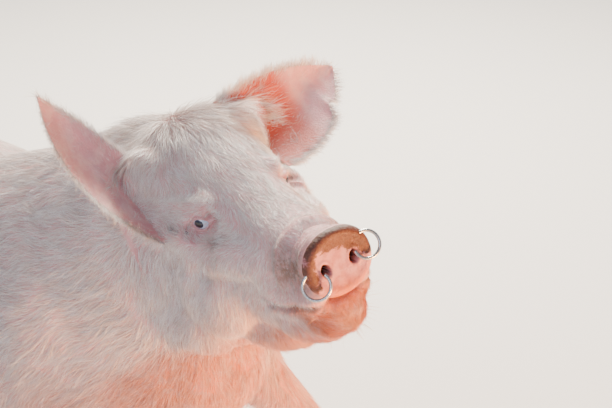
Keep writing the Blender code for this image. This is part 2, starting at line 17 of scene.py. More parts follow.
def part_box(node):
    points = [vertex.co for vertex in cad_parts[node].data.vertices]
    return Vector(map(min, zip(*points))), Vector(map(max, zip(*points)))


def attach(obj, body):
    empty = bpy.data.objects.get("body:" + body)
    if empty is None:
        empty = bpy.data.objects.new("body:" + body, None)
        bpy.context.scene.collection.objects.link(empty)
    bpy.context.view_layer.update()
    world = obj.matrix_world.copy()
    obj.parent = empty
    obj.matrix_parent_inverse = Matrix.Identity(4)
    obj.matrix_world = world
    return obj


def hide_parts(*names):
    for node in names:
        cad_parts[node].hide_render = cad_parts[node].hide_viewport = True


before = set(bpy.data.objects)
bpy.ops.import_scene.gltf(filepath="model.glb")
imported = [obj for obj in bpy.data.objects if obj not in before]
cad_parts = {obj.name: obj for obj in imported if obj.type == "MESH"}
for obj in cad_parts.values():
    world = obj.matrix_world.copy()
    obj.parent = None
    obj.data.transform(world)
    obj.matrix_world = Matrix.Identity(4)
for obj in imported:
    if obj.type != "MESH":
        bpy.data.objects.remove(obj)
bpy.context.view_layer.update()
RNG = np.random.default_rng(11)

# ---------------------------------------------------------------- sizes that the solids share

TRUNK_HALF = 0.212
EYE_MID = Vector((0.735, -0.08, 0.845))
EYE_X = 0.002
EYE_Y = 0.056
EYE_RADIUS = 0.0125
SNOUT_X = 0.204
SNOUT_Z = -0.043
SNOUT_HALF = 0.0465
SNOUT_RISE = 0.041
NOSTRIL_Y = 0.020
TAIL_ROOT = Vector((-0.470, 0, 0.672))
HOOF_HEIGHT = 0.040
HOOF_LENGTH = 0.052
HOOF_WIDTH = 0.032
CLAW_APART = 0.035
EAR_THICKNESS = 0.006
RING_RADIUS = 0.0162
RING_WIRE = 0.0020
MOUTH_X = 0.070
MOUTH_Z = -0.098

HEAD = (
    Matrix.Translation(EYE_MID)
    @ Matrix.Rotation(math.radians(-27), 4, "Z")
    @ Matrix.Rotation(math.radians(-14), 4, "Y")
    @ Matrix.Rotation(math.radians(12), 4, "X")
)
HEAD_TURN = np.array(HEAD.to_3x3())
HEAD_AT = np.array(HEAD.translation)
SIDES = {"left": 1, "right": -1}
FLESH_NODES = ["trunk", "head", "neck", "tail", "ear_left", "ear_right"]


def middle_of(node):
    low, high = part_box(node)
    return (low + high) / 2


# from the sow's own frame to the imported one
SHIFT = (middle_of("eye_left") + middle_of("eye_right")) / 2 - HEAD @ Vector((EYE_X, 0, 0))

# ---------------------------------------------------------------- numbers and directions


def smooth01(x):
    x = np.clip(x, 0, 1)
    return x * x * (3 - 2 * x)


def past(values, start, length):
    """0 up to the start, then a smooth rise to 1 over the given length."""
    return smooth01((values - start) / length)


def short_of(values, end, length):
    """0 from the end on, and a smooth rise to 1 over the given length before it."""
    return smooth01((end - values) / length)


def bell(x, width):
    return np.exp(-((x / width) ** 2))


def unit(v):
    return v / np.maximum(np.linalg.norm(v, axis=-1, keepdims=True), 1e-9)


def to_head(points):
    """Points of the sow's own frame in the head's."""
    return (points - HEAD_AT) @ HEAD_TURN


def from_head(local):
    """Points of the head's frame in the sow's own."""
    return local @ HEAD_TURN.T + HEAD_AT


def head_ways(ways):
    """Directions of the head's frame in the sow's own."""
    return ways @ HEAD_TURN.T


# ---------------------------------------------------------------- forms


def spread(rows, steps):
    """Rows of numbers, with a Catmull-Rom curve run through each gap between them."""
    rows = np.array(rows, float)
    padded = np.vstack([2 * rows[0] - rows[1], rows, 2 * rows[-1] - rows[-2]])
    out = []
    for a, b, c, d in zip(padded, padded[1:], padded[2:], padded[3:]):
        for k in range(steps):
            t = k / steps
            line = 0.5 * t * (c - a)
            bend = t * t * (a - 2.5 * b + 2 * c - 0.5 * d)
            twist = t**3 * (1.5 * (b - c) + 0.5 * (d - a))
            out.append(b + line + bend + twist)
    out.append(rows[-1])
    return np.array(out)


def skin_rings(bm, rings):
    """Joins rings of equal length into one closed body."""
    rings = [[bm.verts.new(point) for point in ring] for ring in rings]
    for one, two in zip(rings, rings[1:]):
        for k in range(len(one)):
            bm.faces.new((one[k - 1], one[k], two[k], two[k - 1]))
    bm.faces.new(rings[0])
    bm.faces.new(rings[-1][::-1])


def loft(bm, rows, place=None, steps=6, sides=48):
    """A closed body through rows of x, y, z, half width, rise, drop and squareness."""
    place = place or Matrix()
    rows = spread(rows, steps)
    centres = rows[:, :3]
    rings = []
    for row, centre, way in zip(rows, centres, np.gradient(centres, axis=0)):
        way = Vector(way).normalized()
        across = Vector((0, 1, 0))
        across = (across - way * way.dot(across)).normalized()
        upward = way.cross(across)
        half, rise, drop, power = row[3:7]
        ring = []
        for k in range(sides):
            c = math.cos(2 * math.pi * k / sides)
            s = math.sin(2 * math.pi * k / sides)
            u = math.copysign(abs(c) ** (2 / power), c) * half
            v = math.copysign(abs(s) ** (2 / power), s) * (rise if s > 0 else drop)
            ring.append(place @ (Vector(centre) + across * u + upward * v))
        rings.append(ring)
    skin_rings(bm, rings)


def blob(bm, centre, radii, place=None, turn=(0, 0, 0)):
    """An ellipsoid with the given radii, turned by Euler angles in degrees."""
    spin = Matrix.Rotation(math.radians(turn[2]), 4, "Z")
    spin = spin @ Matrix.Rotation(math.radians(turn[1]), 4, "Y")
    spin = spin @ Matrix.Rotation(math.radians(turn[0]), 4, "X")
    matrix = (place or Matrix()) @ Matrix.Translation(centre) @ spin @ Matrix.Diagonal((*radii, 1))
    bmesh.ops.create_icosphere(bm, subdivisions=4, radius=1, matrix=matrix)


# x, top, bottom, share of the full width, share of the height at which it is widest, squareness
TRUNK = (
    (-0.500, 0.675, 0.570, 0.20, 0.50, 2.0),
    (-0.484, 0.708, 0.500, 0.46, 0.55, 2.1),
    (-0.450, 0.735, 0.435, 0.68, 0.56, 2.2),
    (-0.370, 0.760, 0.385, 0.86, 0.56, 2.3),
    (-0.250, 0.772, 0.350, 0.94, 0.55, 2.3),
    (-0.090, 0.770, 0.325, 0.99, 0.53, 2.2),
    (0.070, 0.756, 0.318, 1.00, 0.52, 2.1),
    (0.200, 0.748, 0.326, 0.98, 0.48, 2.0),
    (0.320, 0.775, 0.343, 0.94, 0.40, 2.0),
    (0.430, 0.805, 0.362, 0.87, 0.36, 2.0),
    (0.530, 0.815, 0.392, 0.74, 0.34, 2.0),
    (0.610, 0.770, 0.436, 0.56, 0.34, 2.0),
    (0.660, 0.690, 0.490, 0.38, 0.40, 2.0),
    (0.685, 0.620, 0.535, 0.20, 0.50, 2.0),
)
NECK = (
    (0.330, 0.000, 0.605, 0.165, 0.165, 0.200, 2.1),
    (0.430, -0.003, 0.655, 0.156, 0.154, 0.215, 2.1),
    (0.520, -0.007, 0.708, 0.144, 0.145, 0.210, 2.1),
    (0.590, -0.018, 0.758, 0.130, 0.138, 0.195, 2.1),
    (0.640, -0.040, 0.785, 0.112, 0.120, 0.160, 2.1),
)
# ahead of the eyes, height of the widest point, half width, height above and below it, squareness
SKULL = (
    (-0.190, -0.060, 0.100, 0.100, 0.150, 2.2),
    (-0.150, -0.058, 0.110, 0.138, 0.170, 2.2),
    (-0.105, -0.054, 0.109, 0.160, 0.170, 2.2),
    (-0.060, -0.048, 0.098, 0.146, 0.158, 2.2),
    (-0.020, -0.045, 0.084, 0.112, 0.144, 2.2),
    (0.020, -0.046, 0.067, 0.085, 0.131, 2.2),
    (0.060, -0.049, 0.058, 0.067, 0.119, 2.2),
    (0.100, -0.052, 0.052, 0.056, 0.109, 2.3),
    (0.138, -0.056, 0.048, 0.051, 0.100, 2.3),
    (0.166, -0.062, 0.042, 0.049, 0.086, 2.2),
)
# behind the disc's face, and the share of its half width and half height
SNOUT = (
    (0.095, 0.80, 0.86),
    (0.060, 0.83, 0.88),
    (0.034, 0.86, 0.89),
    (0.020, 0.93, 0.94),
    (0.010, 1.00, 1.00),
    (0.003, 0.985, 0.98),
    (0.000, 0.90, 0.89),
)
# joints from the trunk down: x, y, z, half width, forward, backward
LEGS = {
    "foreleg_left": (
        (0.530, 0.108, 0.540, 0.060, 0.085, 0.085),
        (0.575, 0.124, 0.465, 0.058, 0.074, 0.072),
        (0.610, 0.142, 0.415, 0.046, 0.050, 0.052),
        (0.650, 0.166, 0.365, 0.036, 0.037, 0.038),
        (0.692, 0.186, 0.300, 0.032, 0.033, 0.033),
        (0.724, 0.196, 0.240, 0.036, 0.036, 0.034),
        (0.744, 0.198, 0.185, 0.029, 0.028, 0.028),
        (0.760, 0.200, 0.120, 0.032, 0.030, 0.033),
        (0.776, 0.201, 0.080, 0.032, 0.028, 0.030),
        (0.794, 0.202, 0.050, 0.031, 0.028, 0.026),
        (0.804, 0.202, 0.030, 0.026, 0.024, 0.022),
    ),
    "foreleg_right": (
        (0.440, -0.104, 0.560, 0.066, 0.105, 0.115),
        (0.430, -0.118, 0.460, 0.064, 0.084, 0.092),
        (0.412, -0.128, 0.380, 0.052, 0.058, 0.060),
        (0.398, -0.134, 0.300, 0.041, 0.043, 0.044),
        (0.386, -0.137, 0.240, 0.035, 0.034, 0.035),
        (0.380, -0.138, 0.200, 0.037, 0.037, 0.035),
        (0.370, -0.139, 0.155, 0.029, 0.028, 0.028),
        (0.364, -0.140, 0.108, 0.032, 0.030, 0.033),
        (0.374, -0.140, 0.075, 0.032, 0.028, 0.030),
        (0.390, -0.140, 0.050, 0.031, 0.028, 0.026),
        (0.400, -0.140, 0.030, 0.026, 0.024, 0.022),
    ),
    "hindleg_left": (
        (-0.340, 0.108, 0.600, 0.080, 0.140, 0.130),
        (-0.300, 0.128, 0.500, 0.074, 0.120, 0.120),
        (-0.288, 0.138, 0.425, 0.058, 0.094, 0.094),
        (-0.318, 0.140, 0.350, 0.043, 0.058, 0.058),
        (-0.352, 0.140, 0.292, 0.034, 0.042, 0.042),
        (-0.366, 0.140, 0.250, 0.035, 0.040, 0.038),
        (-0.356, 0.140, 0.190, 0.029, 0.030, 0.029),
        (-0.344, 0.140, 0.118, 0.032, 0.029, 0.033),
        (-0.332, 0.140, 0.080, 0.032, 0.028, 0.030),
        (-0.316, 0.140, 0.050, 0.031, 0.028, 0.026),
        (-0.306, 0.140, 0.030, 0.026, 0.024, 0.022),
    ),
    "hindleg_right": (
        (-0.350, -0.108, 0.600, 0.080, 0.140, 0.130),
        (-0.330, -0.128, 0.500, 0.074, 0.120, 0.120),
        (-0.340, -0.138, 0.425, 0.058, 0.094, 0.094),
        (-0.384, -0.140, 0.350, 0.043, 0.058, 0.058),
        (-0.425, -0.140, 0.295, 0.034, 0.042, 0.042),
        (-0.442, -0.140, 0.255, 0.035, 0.040, 0.038),
        (-0.444, -0.140, 0.190, 0.029, 0.030, 0.029),
        (-0.440, -0.140, 0.118, 0.032, 0.029, 0.033),
        (-0.430, -0.140, 0.080, 0.032, 0.028, 0.030),
        (-0.414, -0.140, 0.050, 0.031, 0.028, 0.026),
        (-0.404, -0.140, 0.030, 0.026, 0.024, 0.022),
    ),
}

# centre, radii and turn in degrees of the head's rounded forms, the left one of each pair
PAIRED_FORMS = {
    "cheek": ((-0.050, 0.062, -0.100), (0.090, 0.042, 0.074), (0, 0, 0)),
    "jowl": ((-0.115, 0.060, -0.150), (0.085, 0.058, 0.066), (0, 0, 0)),
    "brow": ((-0.010, 0.049, 0.022), (0.036, 0.017, 0.017), (0, 0, 0)),
    "cheekbone": ((-0.050, 0.076, -0.018), (0.060, 0.026, 0.022), (0, 0, 0)),
    "side of the face": ((0.042, 0.050, -0.042), (0.092, 0.031, 0.030), (0, 0, -21)),
    "ear root": ((-0.105, 0.067, 0.045), (0.043, 0.034, 0.050), (0, 30, 0)),
    "upper lip": ((0.110, 0.028, -0.080), (0.060, 0.026, 0.024), (0, 0, 0)),
    "lip beside the disc": ((0.164, 0.031, -0.082), (0.026, 0.018, 0.027), (0, 0, 0)),
}
MIDDLE_FORMS = {
    "chin": ((0.146, 0, -0.118), (0.043, 0.040, 0.034), (0, 0, 0)),
    "lower lip": ((0.168, 0, -0.104), (0.024, 0.036, 0.018), (0, 0, 0)),
    "jaw": ((0.088, 0, -0.134), (0.072, 0.042, 0.039), (0, 0, 0)),
    "throat": ((-0.040, 0, -0.152), (0.110, 0.060, 0.050), (0, 12, 0)),
}
BODY_FORMS = {
    "left ham": ((-0.365, 0.098, 0.565), (0.140, 0.088, 0.170), (0, 15, 0)),
    "right ham": ((-0.365, -0.098, 0.565), (0.140, 0.088, 0.170), (0, 15, 0)),
    "left shoulder": ((0.530, 0.102, 0.520), (0.120, 0.072, 0.135), (0, -35, 0)),
    "right shoulder": ((0.420, -0.108, 0.560), (0.105, 0.080, 0.160), (0, 5, 0)),
}
SNOUT_POWER = 2.15
LEG_POWER = 2.1
LEG_SIDES = 32


def trunk_rows():
    rows = []
    for x, top, bottom, share, level, power in TRUNK:
        middle = bottom + level * (top - bottom)
        rows.append((x, 0, middle, share * TRUNK_HALF, top - middle, middle - bottom, power))
    return rows


def head_forms(bm):
    loft(bm, [(row[0], 0, *row[1:]) for row in SKULL], HEAD)
    snout = []
    for back, wide, high in SNOUT:
        rise = SNOUT_RISE * high
        snout.append((SNOUT_X - back, 0, SNOUT_Z, SNOUT_HALF * wide, rise, rise, SNOUT_POWER))
    loft(bm, snout, HEAD)
    for way in SIDES.values():
        for (x, y, z), radii, (roll, nod, turn) in PAIRED_FORMS.values():
            blob(bm, (x, y * way, z), radii, HEAD, (roll, nod, turn * way))
    for centre, radii, turn in MIDDLE_FORMS.values():
        blob(bm, centre, radii, HEAD, turn)


def body_forms(bm):
    loft(bm, trunk_rows())
    loft(bm, NECK)
    head_forms(bm)
    for joints in LEGS.values():
        loft(bm, [(*joint, LEG_POWER) for joint in joints], sides=LEG_SIDES)
    for centre, radii, turn in BODY_FORMS.values():
        blob(bm, centre, radii, turn=turn)


# ---------------------------------------------------------------- ears and tail

# base at the crown, base at the cheek, tip and facing, in the head's frame
EARS = {
    "left": (
        (-0.117, 0.097, 0.104),
        (-0.042, 0.112, 0.0),
        (-0.130, 0.250, 0.064),
        (0.89, 0, 0.45),
    ),
    "right": (
        (-0.122, -0.090, 0.106),
        (-0.042, -0.110, 0.0),
        (-0.092, -0.169, 0.208),
        (0.90, -0.1, 0.40),
    ),
}
# how far the middles of the crown's edge and of the cheek's edge stand off the straight line
EAR_PUSH = {
    "left": ((-0.012, -0.003, 0.018), (0.034, 0.008, -0.044)),
    "right": ((0.004, 0.006, -0.008), (-0.016, -0.052, -0.023)),
}
EAR_CUP = 0.026
EAR_NICK = (0.66, 0.05, 0.011)  # place along the left ear, width and depth
EAR_BURIED = 0.02
ROOT_REACH = 0.26  # share of the ear that blends into the head
ROOT_RINGS = 9
ROOT_POINTS = 13
TAIL_STEPS = 60
TAIL_SIDES = 20
TAIL_STRAIGHT = 0.25  # share of the tail before its curl


def bezier(a, b, c, t):
    return a * (1 - t) ** 2 + b * 2 * t * (1 - t) + c * t**2


def ear_point(side, along, across, behind, thickness):
    """A point of the ear: along from base to tip, across from the crown's edge to the cheek's."""
    crown, cheek, tip, facing = (Vector(v) for v in EARS[side])
    facing.normalize()
    axis = (tip - (crown + cheek) / 2).normalized()
    crown_push, cheek_push = (Vector(v) for v in EAR_PUSH[side])
    crown_edge = bezier(crown, crown.lerp(tip, 0.5) + crown_push, tip, along)
    cheek_edge = bezier(cheek, cheek.lerp(tip, 0.5) + cheek_push, tip, along)
    if side == "left":
        place, width, depth = EAR_NICK
        nick = depth * math.exp(-(((along - place) / width) ** 2))
        cheek_edge = cheek_edge + (crown_edge - cheek_edge).normalized() * nick
    middle = crown_edge.lerp(cheek_edge, across)
    bow = 1 - (2 * across - 1) ** 2
    cup = EAR_CUP * (1 - along) ** 0.8 * bow
    thick = thickness * (0.35 + 0.65 * bow) * (1 - 0.5 * along)
    return middle - facing * (cup + thick * behind) - axis * EAR_BURIED * (1 - along) ** 4


def ear_root_form(bm, side):
    """The ear's lowest part, thickened so that it blends into the crown and the cheek."""
    shares = [0.06 + 0.88 * j / (ROOT_POINTS - 1) for j in range(ROOT_POINTS)]
    rings = []
    for k in range(ROOT_RINGS):
        along = ROOT_REACH * k / (ROOT_RINGS - 1)
        thickness = 0.010 - 0.01 * along
        front = [ear_point(side, along, share, 0.35, thickness) for share in shares]
        back = [ear_point(side, along, share, 0.95, thickness) for share in shares[::-1]]
        rings.append([HEAD @ point for point in front + back])
    skin_rings(bm, rings)


def tail_row(t):
    """The tail's centre and radius at a share of its length."""
    if t < TAIL_STRAIGHT:
        u = t / TAIL_STRAIGHT
        place = TAIL_ROOT + Vector((-0.062 * u, 0.004 * u, -0.004 * u - 0.016 * u * u))
    else:
        u = (t - TAIL_STRAIGHT) / (1 - TAIL_STRAIGHT)
        angle = math.radians(62 - 470 * u)
        middle = TAIL_ROOT + Vector((-0.076, 0.004 + 0.055 * u, -0.049 - 0.03 * u))
        place = middle + Vector((-math.cos(angle), 0, math.sin(angle))) * (0.033 - 0.006 * u)
    return place, 0.0165 - 0.0105 * t


# ---------------------------------------------------------------- mesh helpers


def in_scene(name, data):
    made = bpy.data.objects.new(name, data)
    bpy.context.scene.collection.objects.link(made)
    return made


def mesh_object(name, bm):
    """An object from a finished bmesh, its faces turned outwards."""
    mesh = bpy.data.meshes.new(name)
    bmesh.ops.recalc_face_normals(bm, faces=bm.faces)
    bm.to_mesh(mesh)
    bm.free()
    return in_scene(name, mesh)


def settle(made):
    """Applies the object's modifiers."""
    graph = bpy.context.evaluated_depsgraph_get()
    mesh = bpy.data.meshes.new_from_object(made.evaluated_get(graph))
    made.modifiers.clear()
    made.data = mesh


def read(items, key, width, kind=np.float32):
    """One row of numbers for each item of a mesh."""
    flat = np.empty(len(items) * width, kind)
    items.foreach_get(key, flat)
    return flat.reshape(-1, width)


def places(mesh):
    return read(mesh.vertices, "co", 3).astype(float)


def normals(mesh):
    return read(mesh.vertex_normals, "vector", 3).astype(float)


def edge_pairs(mesh):
    return read(mesh.edges, "vertices", 2, np.int32)


def move_to(mesh, points):
    mesh.vertices.foreach_set("co", points.astype(np.float32).ravel())
    mesh.update()


def relax(points, pairs, weight, rounds):
    """Moves each point halfway to the mean of its neighbours in each round, by its weight."""
    count = np.bincount(pairs.ravel(), minlength=len(points))[:, None]
    share = 0.5 * weight[:, None]
    for _ in range(rounds):
        total = np.zeros_like(points)
        for axis in range(3):
            column = points[:, axis]
            sums = np.bincount(pairs[:, 0], column[pairs[:, 1]], len(points))
            sums += np.bincount(pairs[:, 1], column[pairs[:, 0]], len(points))
            total[:, axis] = sums
        points = points + (total / np.maximum(count, 1) - points) * share
    return points


def set_weights(made, name, values):
    """A vertex group from an array, in steps of a twentieth."""
    group = made.vertex_groups.new(name=name)
    levels = np.round(values * 20).astype(int)
    for level in np.unique(levels):
        group.add(np.nonzero(levels == level)[0].tolist(), level / 20, "REPLACE")
    return group.name


# ---------------------------------------------------------------- the skin

SKIN_VOXEL = 0.0032
SKIN_FACES = 62000
SOFTEN_ROUNDS = 29
FOLD_ROUNDS = 60


def coat_depth(points):
    """How far the lying coat stands over the skin: on the body, on the low legs and on the face."""
    ahead = to_head(points)[:, 0]
    face = past(ahead, -0.13, 0.16)
    low_leg = short_of(points[:, 2], 0.34, 0.12)
    depth = 0.0042 * (1 - face) * (1 - low_leg) + 0.0016 * low_leg * (1 - face) + 0.0010 * face
    return depth * short_of(ahead, 0.190, 0.02)


def blended_skin():
    """All forms of the body as one skin, least softened at the snout."""
    bm = bmesh.new()
    body_forms(bm)
    for side in SIDES:
        ear_root_form(bm, side)
    skin = mesh_object("skin", bm)
    remesh = skin.modifiers.new("blend", "REMESH")
    remesh.mode = "VOXEL"
    remesh.voxel_size = SKIN_VOXEL
    settle(skin)
    ahead = to_head(places(skin.data))[:, 0]
    snout = past(ahead, 0.165, 0.02)
    lips = past(ahead, 0.05, 0.03)
    soften = skin.modifiers.new("soften", "SMOOTH")
    soften.factor = 0.5
    soften.iterations = SOFTEN_ROUNDS
    soften.vertex_group = set_weights(skin, "soften", 1 - 0.85 * snout - 0.10 * lips * (1 - snout))
    settle(skin)
    points = places(skin.data)
    x, _, z = to_head(points).T
    folds = short_of(x, -0.05, 0.04) * past(x, -0.30, 0.06) * short_of(z, 0.005, 0.04)
    move_to(skin.data, relax(points, edge_pairs(skin.data), folds, FOLD_ROUNDS))
    return skin


def thin_skin(skin, target):
    """Fewer faces away from the face, so that the whole stays light."""
    face = past(to_head(places(skin.data))[:, 0], -0.10, 0.06)
    skin.vertex_groups.clear()
    thin = skin.modifiers.new("thin", "DECIMATE")
    thin.ratio = target / (2 * len(skin.data.polygons))
    thin.vertex_group = set_weights(skin, "thin", 1 - 0.97 * face)
    thin.vertex_group_factor = 8
    settle(skin)
    skin.vertex_groups.clear()


def refine(skin, wanted, rounds):
    """Splits the edges of the faces whose corners are all wanted, and softens the new points."""
    bm = bmesh.new()
    bm.from_mesh(skin.data)
    chosen = wanted(places(skin.data))
    faces = [f for f in bm.faces if all(chosen[v.index] for v in f.verts)]
    edges = list({edge for face in faces for edge in face.edges})
    bmesh.ops.subdivide_edges(bm, edges=edges, cuts=1, use_grid_fill=True)
    bm.to_mesh(skin.data)
    bm.free()
    points = places(skin.data)
    weight = wanted(points).astype(float)
    move_to(skin.data, relax(points, edge_pairs(skin.data), weight, rounds))


# ---------------------------------------------------------------- the skin round the eyes

EYE_TILT = math.radians(8)  # the slit's front end up
EYE_TURN = math.radians(36)  # the opening's turn forwards
EYE_BACK = 0.010  # the eyeball's middle, behind the solid's
EYE_OUT = {1: 0.003, -1: 0.0}  # how far each eyeball stands out of its socket
EYE_HOLLOW = 0.009  # depth of the hollow in front of the eye
SLIT_DROP = 0.003  # the slit's middle, below the eyeball's
SLIT_HALF = 0.0122
SLIT_UP = 0.0086
SLIT_DOWN = 0.0074
CORNER_REACH = 0.0225  # the pink corner's front end
CORNER_HALF = 0.0024
LID = 0.0016
LID_RADIUS = EYE_RADIUS + LID
LID_RIM = (0.0012, 0.0012, 0.0014)
# the lids' folds: distance from the slit's edge, height (below 0 sunk) and width
UPPER_FOLDS = ((0.0052, -0.0013, 0.0013), (0.0082, 0.0016, 0.0026), (0.0105, -0.0009, 0.0016))
LOWER_FOLDS = ((0.0048, -0.0010, 0.0012), (0.0078, 0.0012, 0.0022), (0.0110, -0.0009, 0.0018))


def eye_local(local, way):
    """Places round one eye: along its slit (forwards), up, and outwards from the eyeball's centre."""
    x = local[:, 0] - EYE_X + EYE_BACK
    y = way * local[:, 1] - EYE_Y
    z = local[:, 2] + SLIT_DROP
    ahead = x * math.cos(EYE_TURN) - y * math.sin(EYE_TURN)
    along = ahead * math.cos(EYE_TILT) + z * math.sin(EYE_TILT)
    up = -ahead * math.sin(EYE_TILT) + z * math.cos(EYE_TILT)
    return along, up, x * math.sin(EYE_TURN) + y * math.cos(EYE_TURN) - EYE_OUT[way]


def from_eye(along, up, out, way):
    """The place in the head's frame of a place round one eye."""
    out = out + EYE_OUT[way]
    ahead = along * math.cos(EYE_TILT) - up * math.sin(EYE_TILT)
    x = EYE_X - EYE_BACK + ahead * math.cos(EYE_TURN) + out * math.sin(EYE_TURN)
    y = EYE_Y - ahead * math.sin(EYE_TURN) + out * math.cos(EYE_TURN)
    z = along * math.sin(EYE_TILT) + up * math.cos(EYE_TILT) - SLIT_DROP
    return np.array((x, way * y, z))


def slit_edge(along, up):
    """Distance from the edge of the lids' opening, roughly: below 0 inside it."""
    width = np.clip(1 - (along / SLIT_HALF) ** 2, 0, 1)
    high = np.where(up > 0, SLIT_UP, SLIT_DOWN) * width**0.8
    corner = np.clip((CORNER_REACH - along) / (CORNER_REACH - 0.6 * SLIT_HALF), 0, 1)
    high = np.maximum(high, CORNER_HALF * corner**0.6 * (along > 0))
    end = np.where(along > 0, along - CORNER_REACH, -along - SLIT_HALF)
    return np.where(end < 0, np.abs(up) - high, np.hypot(np.maximum(end, 0), up))


def shape_eyes(points):
    """Lays the skin over the eyeballs, with lids that hug them, and opens the slits."""
    local = to_head(points)
    for way in SIDES.values():
        along, up, out = eye_local(local, way)
        near = (np.hypot(along, up) < 0.036) & (out > -0.012)
        a, u, o = along[near], up[near], out[near]
        edge = slit_edge(a, u)
        reach = np.hypot(a - SLIT_DROP * math.sin(EYE_TILT), u - SLIT_DROP * math.cos(EYE_TILT))
        dome = LID_RADIUS - reach**2 / (2 * LID_RADIUS)
        cover = np.maximum(o, dome)
        target = cover + (dome - cover) * short_of(edge, 0.012, 0.009)
        place, height, width = LID_RIM
        target += height * bell(edge - place, width) * (edge > -0.001)
        for folds, here in ((UPPER_FOLDS, u > 0), (LOWER_FOLDS, u < 0)):
            for place, height, width in folds:
                target += height * bell(edge - place, width) * here
        target -= EYE_HOLLOW * bell(a - 0.027, 0.012) * bell(u - 0.005, 0.013) * smooth01(edge / 0.004)
        target += (dome * 0.55 - 0.004 - target) * short_of(edge, 0.0002, 0.0009)
        moved = local[near]
        moved[:, 0] += math.sin(EYE_TURN) * (target - o)
        moved[:, 1] += way * math.cos(EYE_TURN) * (target - o)
        local[near] = moved
    return from_head(local)


# ---------------------------------------------------------------- the skin of snout and face

NOSTRIL_HALF = (0.0058, 0.0080)
NOSTRIL_DEPTH = 0.020
NOSTRIL_LEAN = math.radians(18)
# ahead of the eyes, depth (below 0 stands out) and width of the wrinkles round the muzzle
WRINKLES = (
    (0.1885, 0.0024, 0.0028),
    (0.1800, -0.0012, 0.0035),
    (0.1720, 0.0014, 0.0022),
    (0.1635, 0.0010, 0.0020),
    (0.1540, 0.0030, 0.0030),
    (0.1390, -0.0042, 0.0075),
    (0.1250, 0.0010, 0.0040),
)
# heights of the mouth's groove and of the lips along it, above its middle, and their widths
LIPS = ((0, -0.0085, 0.0032), (0.0085, 0.0022, 0.0050), (-0.0080, 0.0020, 0.0050))
# ahead of the eyes, height, lean, depth, width and half height of the cheeks' folds
CHEEK_FOLDS = (
    (-0.098, -0.085, -0.36, 0.0060, 0.013, 0.045),
    (-0.062, -0.080, -0.36, -0.0064, 0.011, 0.040),
    (-0.022, -0.066, -0.35, 0.0062, 0.011, 0.034),
    (0.005, -0.062, -0.30, -0.0058, 0.009, 0.034),
    (0.036, -0.040, 0.20, -0.0034, 0.012, 0.030),
    (0.090, -0.066, 0.10, 0.0042, 0.012, 0.022),
)


def nostril_reach(local, way):
    """How far each place is from a nostril's middle, 1 at its rim."""
    dy = way * local[:, 1] - NOSTRIL_Y
    dz = local[:, 2] - SNOUT_Z + 0.002
    a = dy * math.cos(NOSTRIL_LEAN) - dz * math.sin(NOSTRIL_LEAN)
    b = dy * math.sin(NOSTRIL_LEAN) + dz * math.cos(NOSTRIL_LEAN)
    return np.hypot(a / NOSTRIL_HALF[0], b / NOSTRIL_HALF[1])


def shape_snout(points):
    """Rim, hollow, groove and nostrils of the disc, and the wrinkles behind it."""
    local = to_head(points)
    x, y, z = local.T
    up = z - SNOUT_Z
    across = np.hypot(y / SNOUT_HALF, up / SNOUT_RISE)
    face = past(x, SNOUT_X - 0.012, 0.006)
    ahead = 0.0022 * bell(across - 0.84, 0.13) - 0.0024 * bell(across, 0.55)
    ahead -= 0.0012 * bell(y, 0.0035) * short_of(up, -0.008, 0.01) * (across < 0.9)
    for way in SIDES.values():
        r = nostril_reach(local, way)
        ahead += 0.0015 * bell(r - 1.45, 0.30)
        ahead -= NOSTRIL_DEPTH * short_of(r, 1.12, 0.40)
    local[:, 0] += ahead * face
    angle = np.arctan2(y, up)
    wave = 0.0022 * np.sin(3 * angle + 0.8) + 0.0012 * np.sin(7 * angle + 2)
    sunk = np.zeros(len(x))
    for place, depth, width in WRINKLES:
        sunk += depth * bell(x + wave - place, width)
    topside = past(up, -0.040, 0.03) * short_of(x, 0.197, 0.004)
    local -= unit(np.stack([0 * y, y, up], 1)) * (sunk * topside)[:, None]
    return from_head(local)


def mouth_height(x):
    return MOUTH_Z - 0.004 + 0.013 * past(x, 0.105, 0.075)


def shape_face(points, ways):
    """Mouth, lips and the folds of the cheeks, along the skin's normals."""
    x, y, z = to_head(points).T
    line = z - mouth_height(x)
    along = past(x - MOUTH_X, -0.004, 0.016) * short_of(x, SNOUT_X - 0.002, 0.004)
    low = smooth01((0.02 - z + MOUTH_Z) / 0.03)
    shut = along * (1 - 0.68 * past(x, 0.125, 0.04))
    out = np.zeros(len(x))
    for place, height, width in LIPS:
        out += height * bell(line - place, width) * shut
    out += -0.0025 * bell(x - MOUTH_X + 0.006, 0.006) * bell(z - MOUTH_Z + 0.006, 0.014) * low
    for fold_x, fold_z, lean, depth, width, high in CHEEK_FOLDS:
        across = (x - fold_x) + lean * (z - fold_z)
        out += depth * bell(across, width) * bell(z - fold_z, high) * (np.abs(y) > 0.03)
    return points + ways * out[:, None]


def near_details(points):
    """Whether each point is close to an eye or a nostril."""
    local = to_head(points)
    close = np.zeros(len(points), bool)
    for way in SIDES.values():
        along, up, out = eye_local(local, way)
        close |= (np.hypot(along, up) < 0.024) & (out > -0.01)
        nose = np.hypot(way * local[:, 1] - NOSTRIL_Y, local[:, 2] - SNOUT_Z)
        close |= (nose < 0.015) & (local[:, 0] > SNOUT_X - 0.012)
    return close


def finished_body():
    """The skin of everything but the ears and the tail."""
    skin = blended_skin()
    thin_skin(skin, SKIN_FACES)
    refine(skin, lambda points: to_head(points)[:, 0] > -0.02, 2)
    refine(skin, near_details, 2)
    mesh = skin.data
    points = places(mesh)
    points = points - normals(mesh) * coat_depth(points)[:, None]
    move_to(mesh, points)
    points = shape_face(points, normals(mesh))
    move_to(mesh, shape_eyes(shape_snout(points)))
    return skin


# ---------------------------------------------------------------- ears, tail and teats

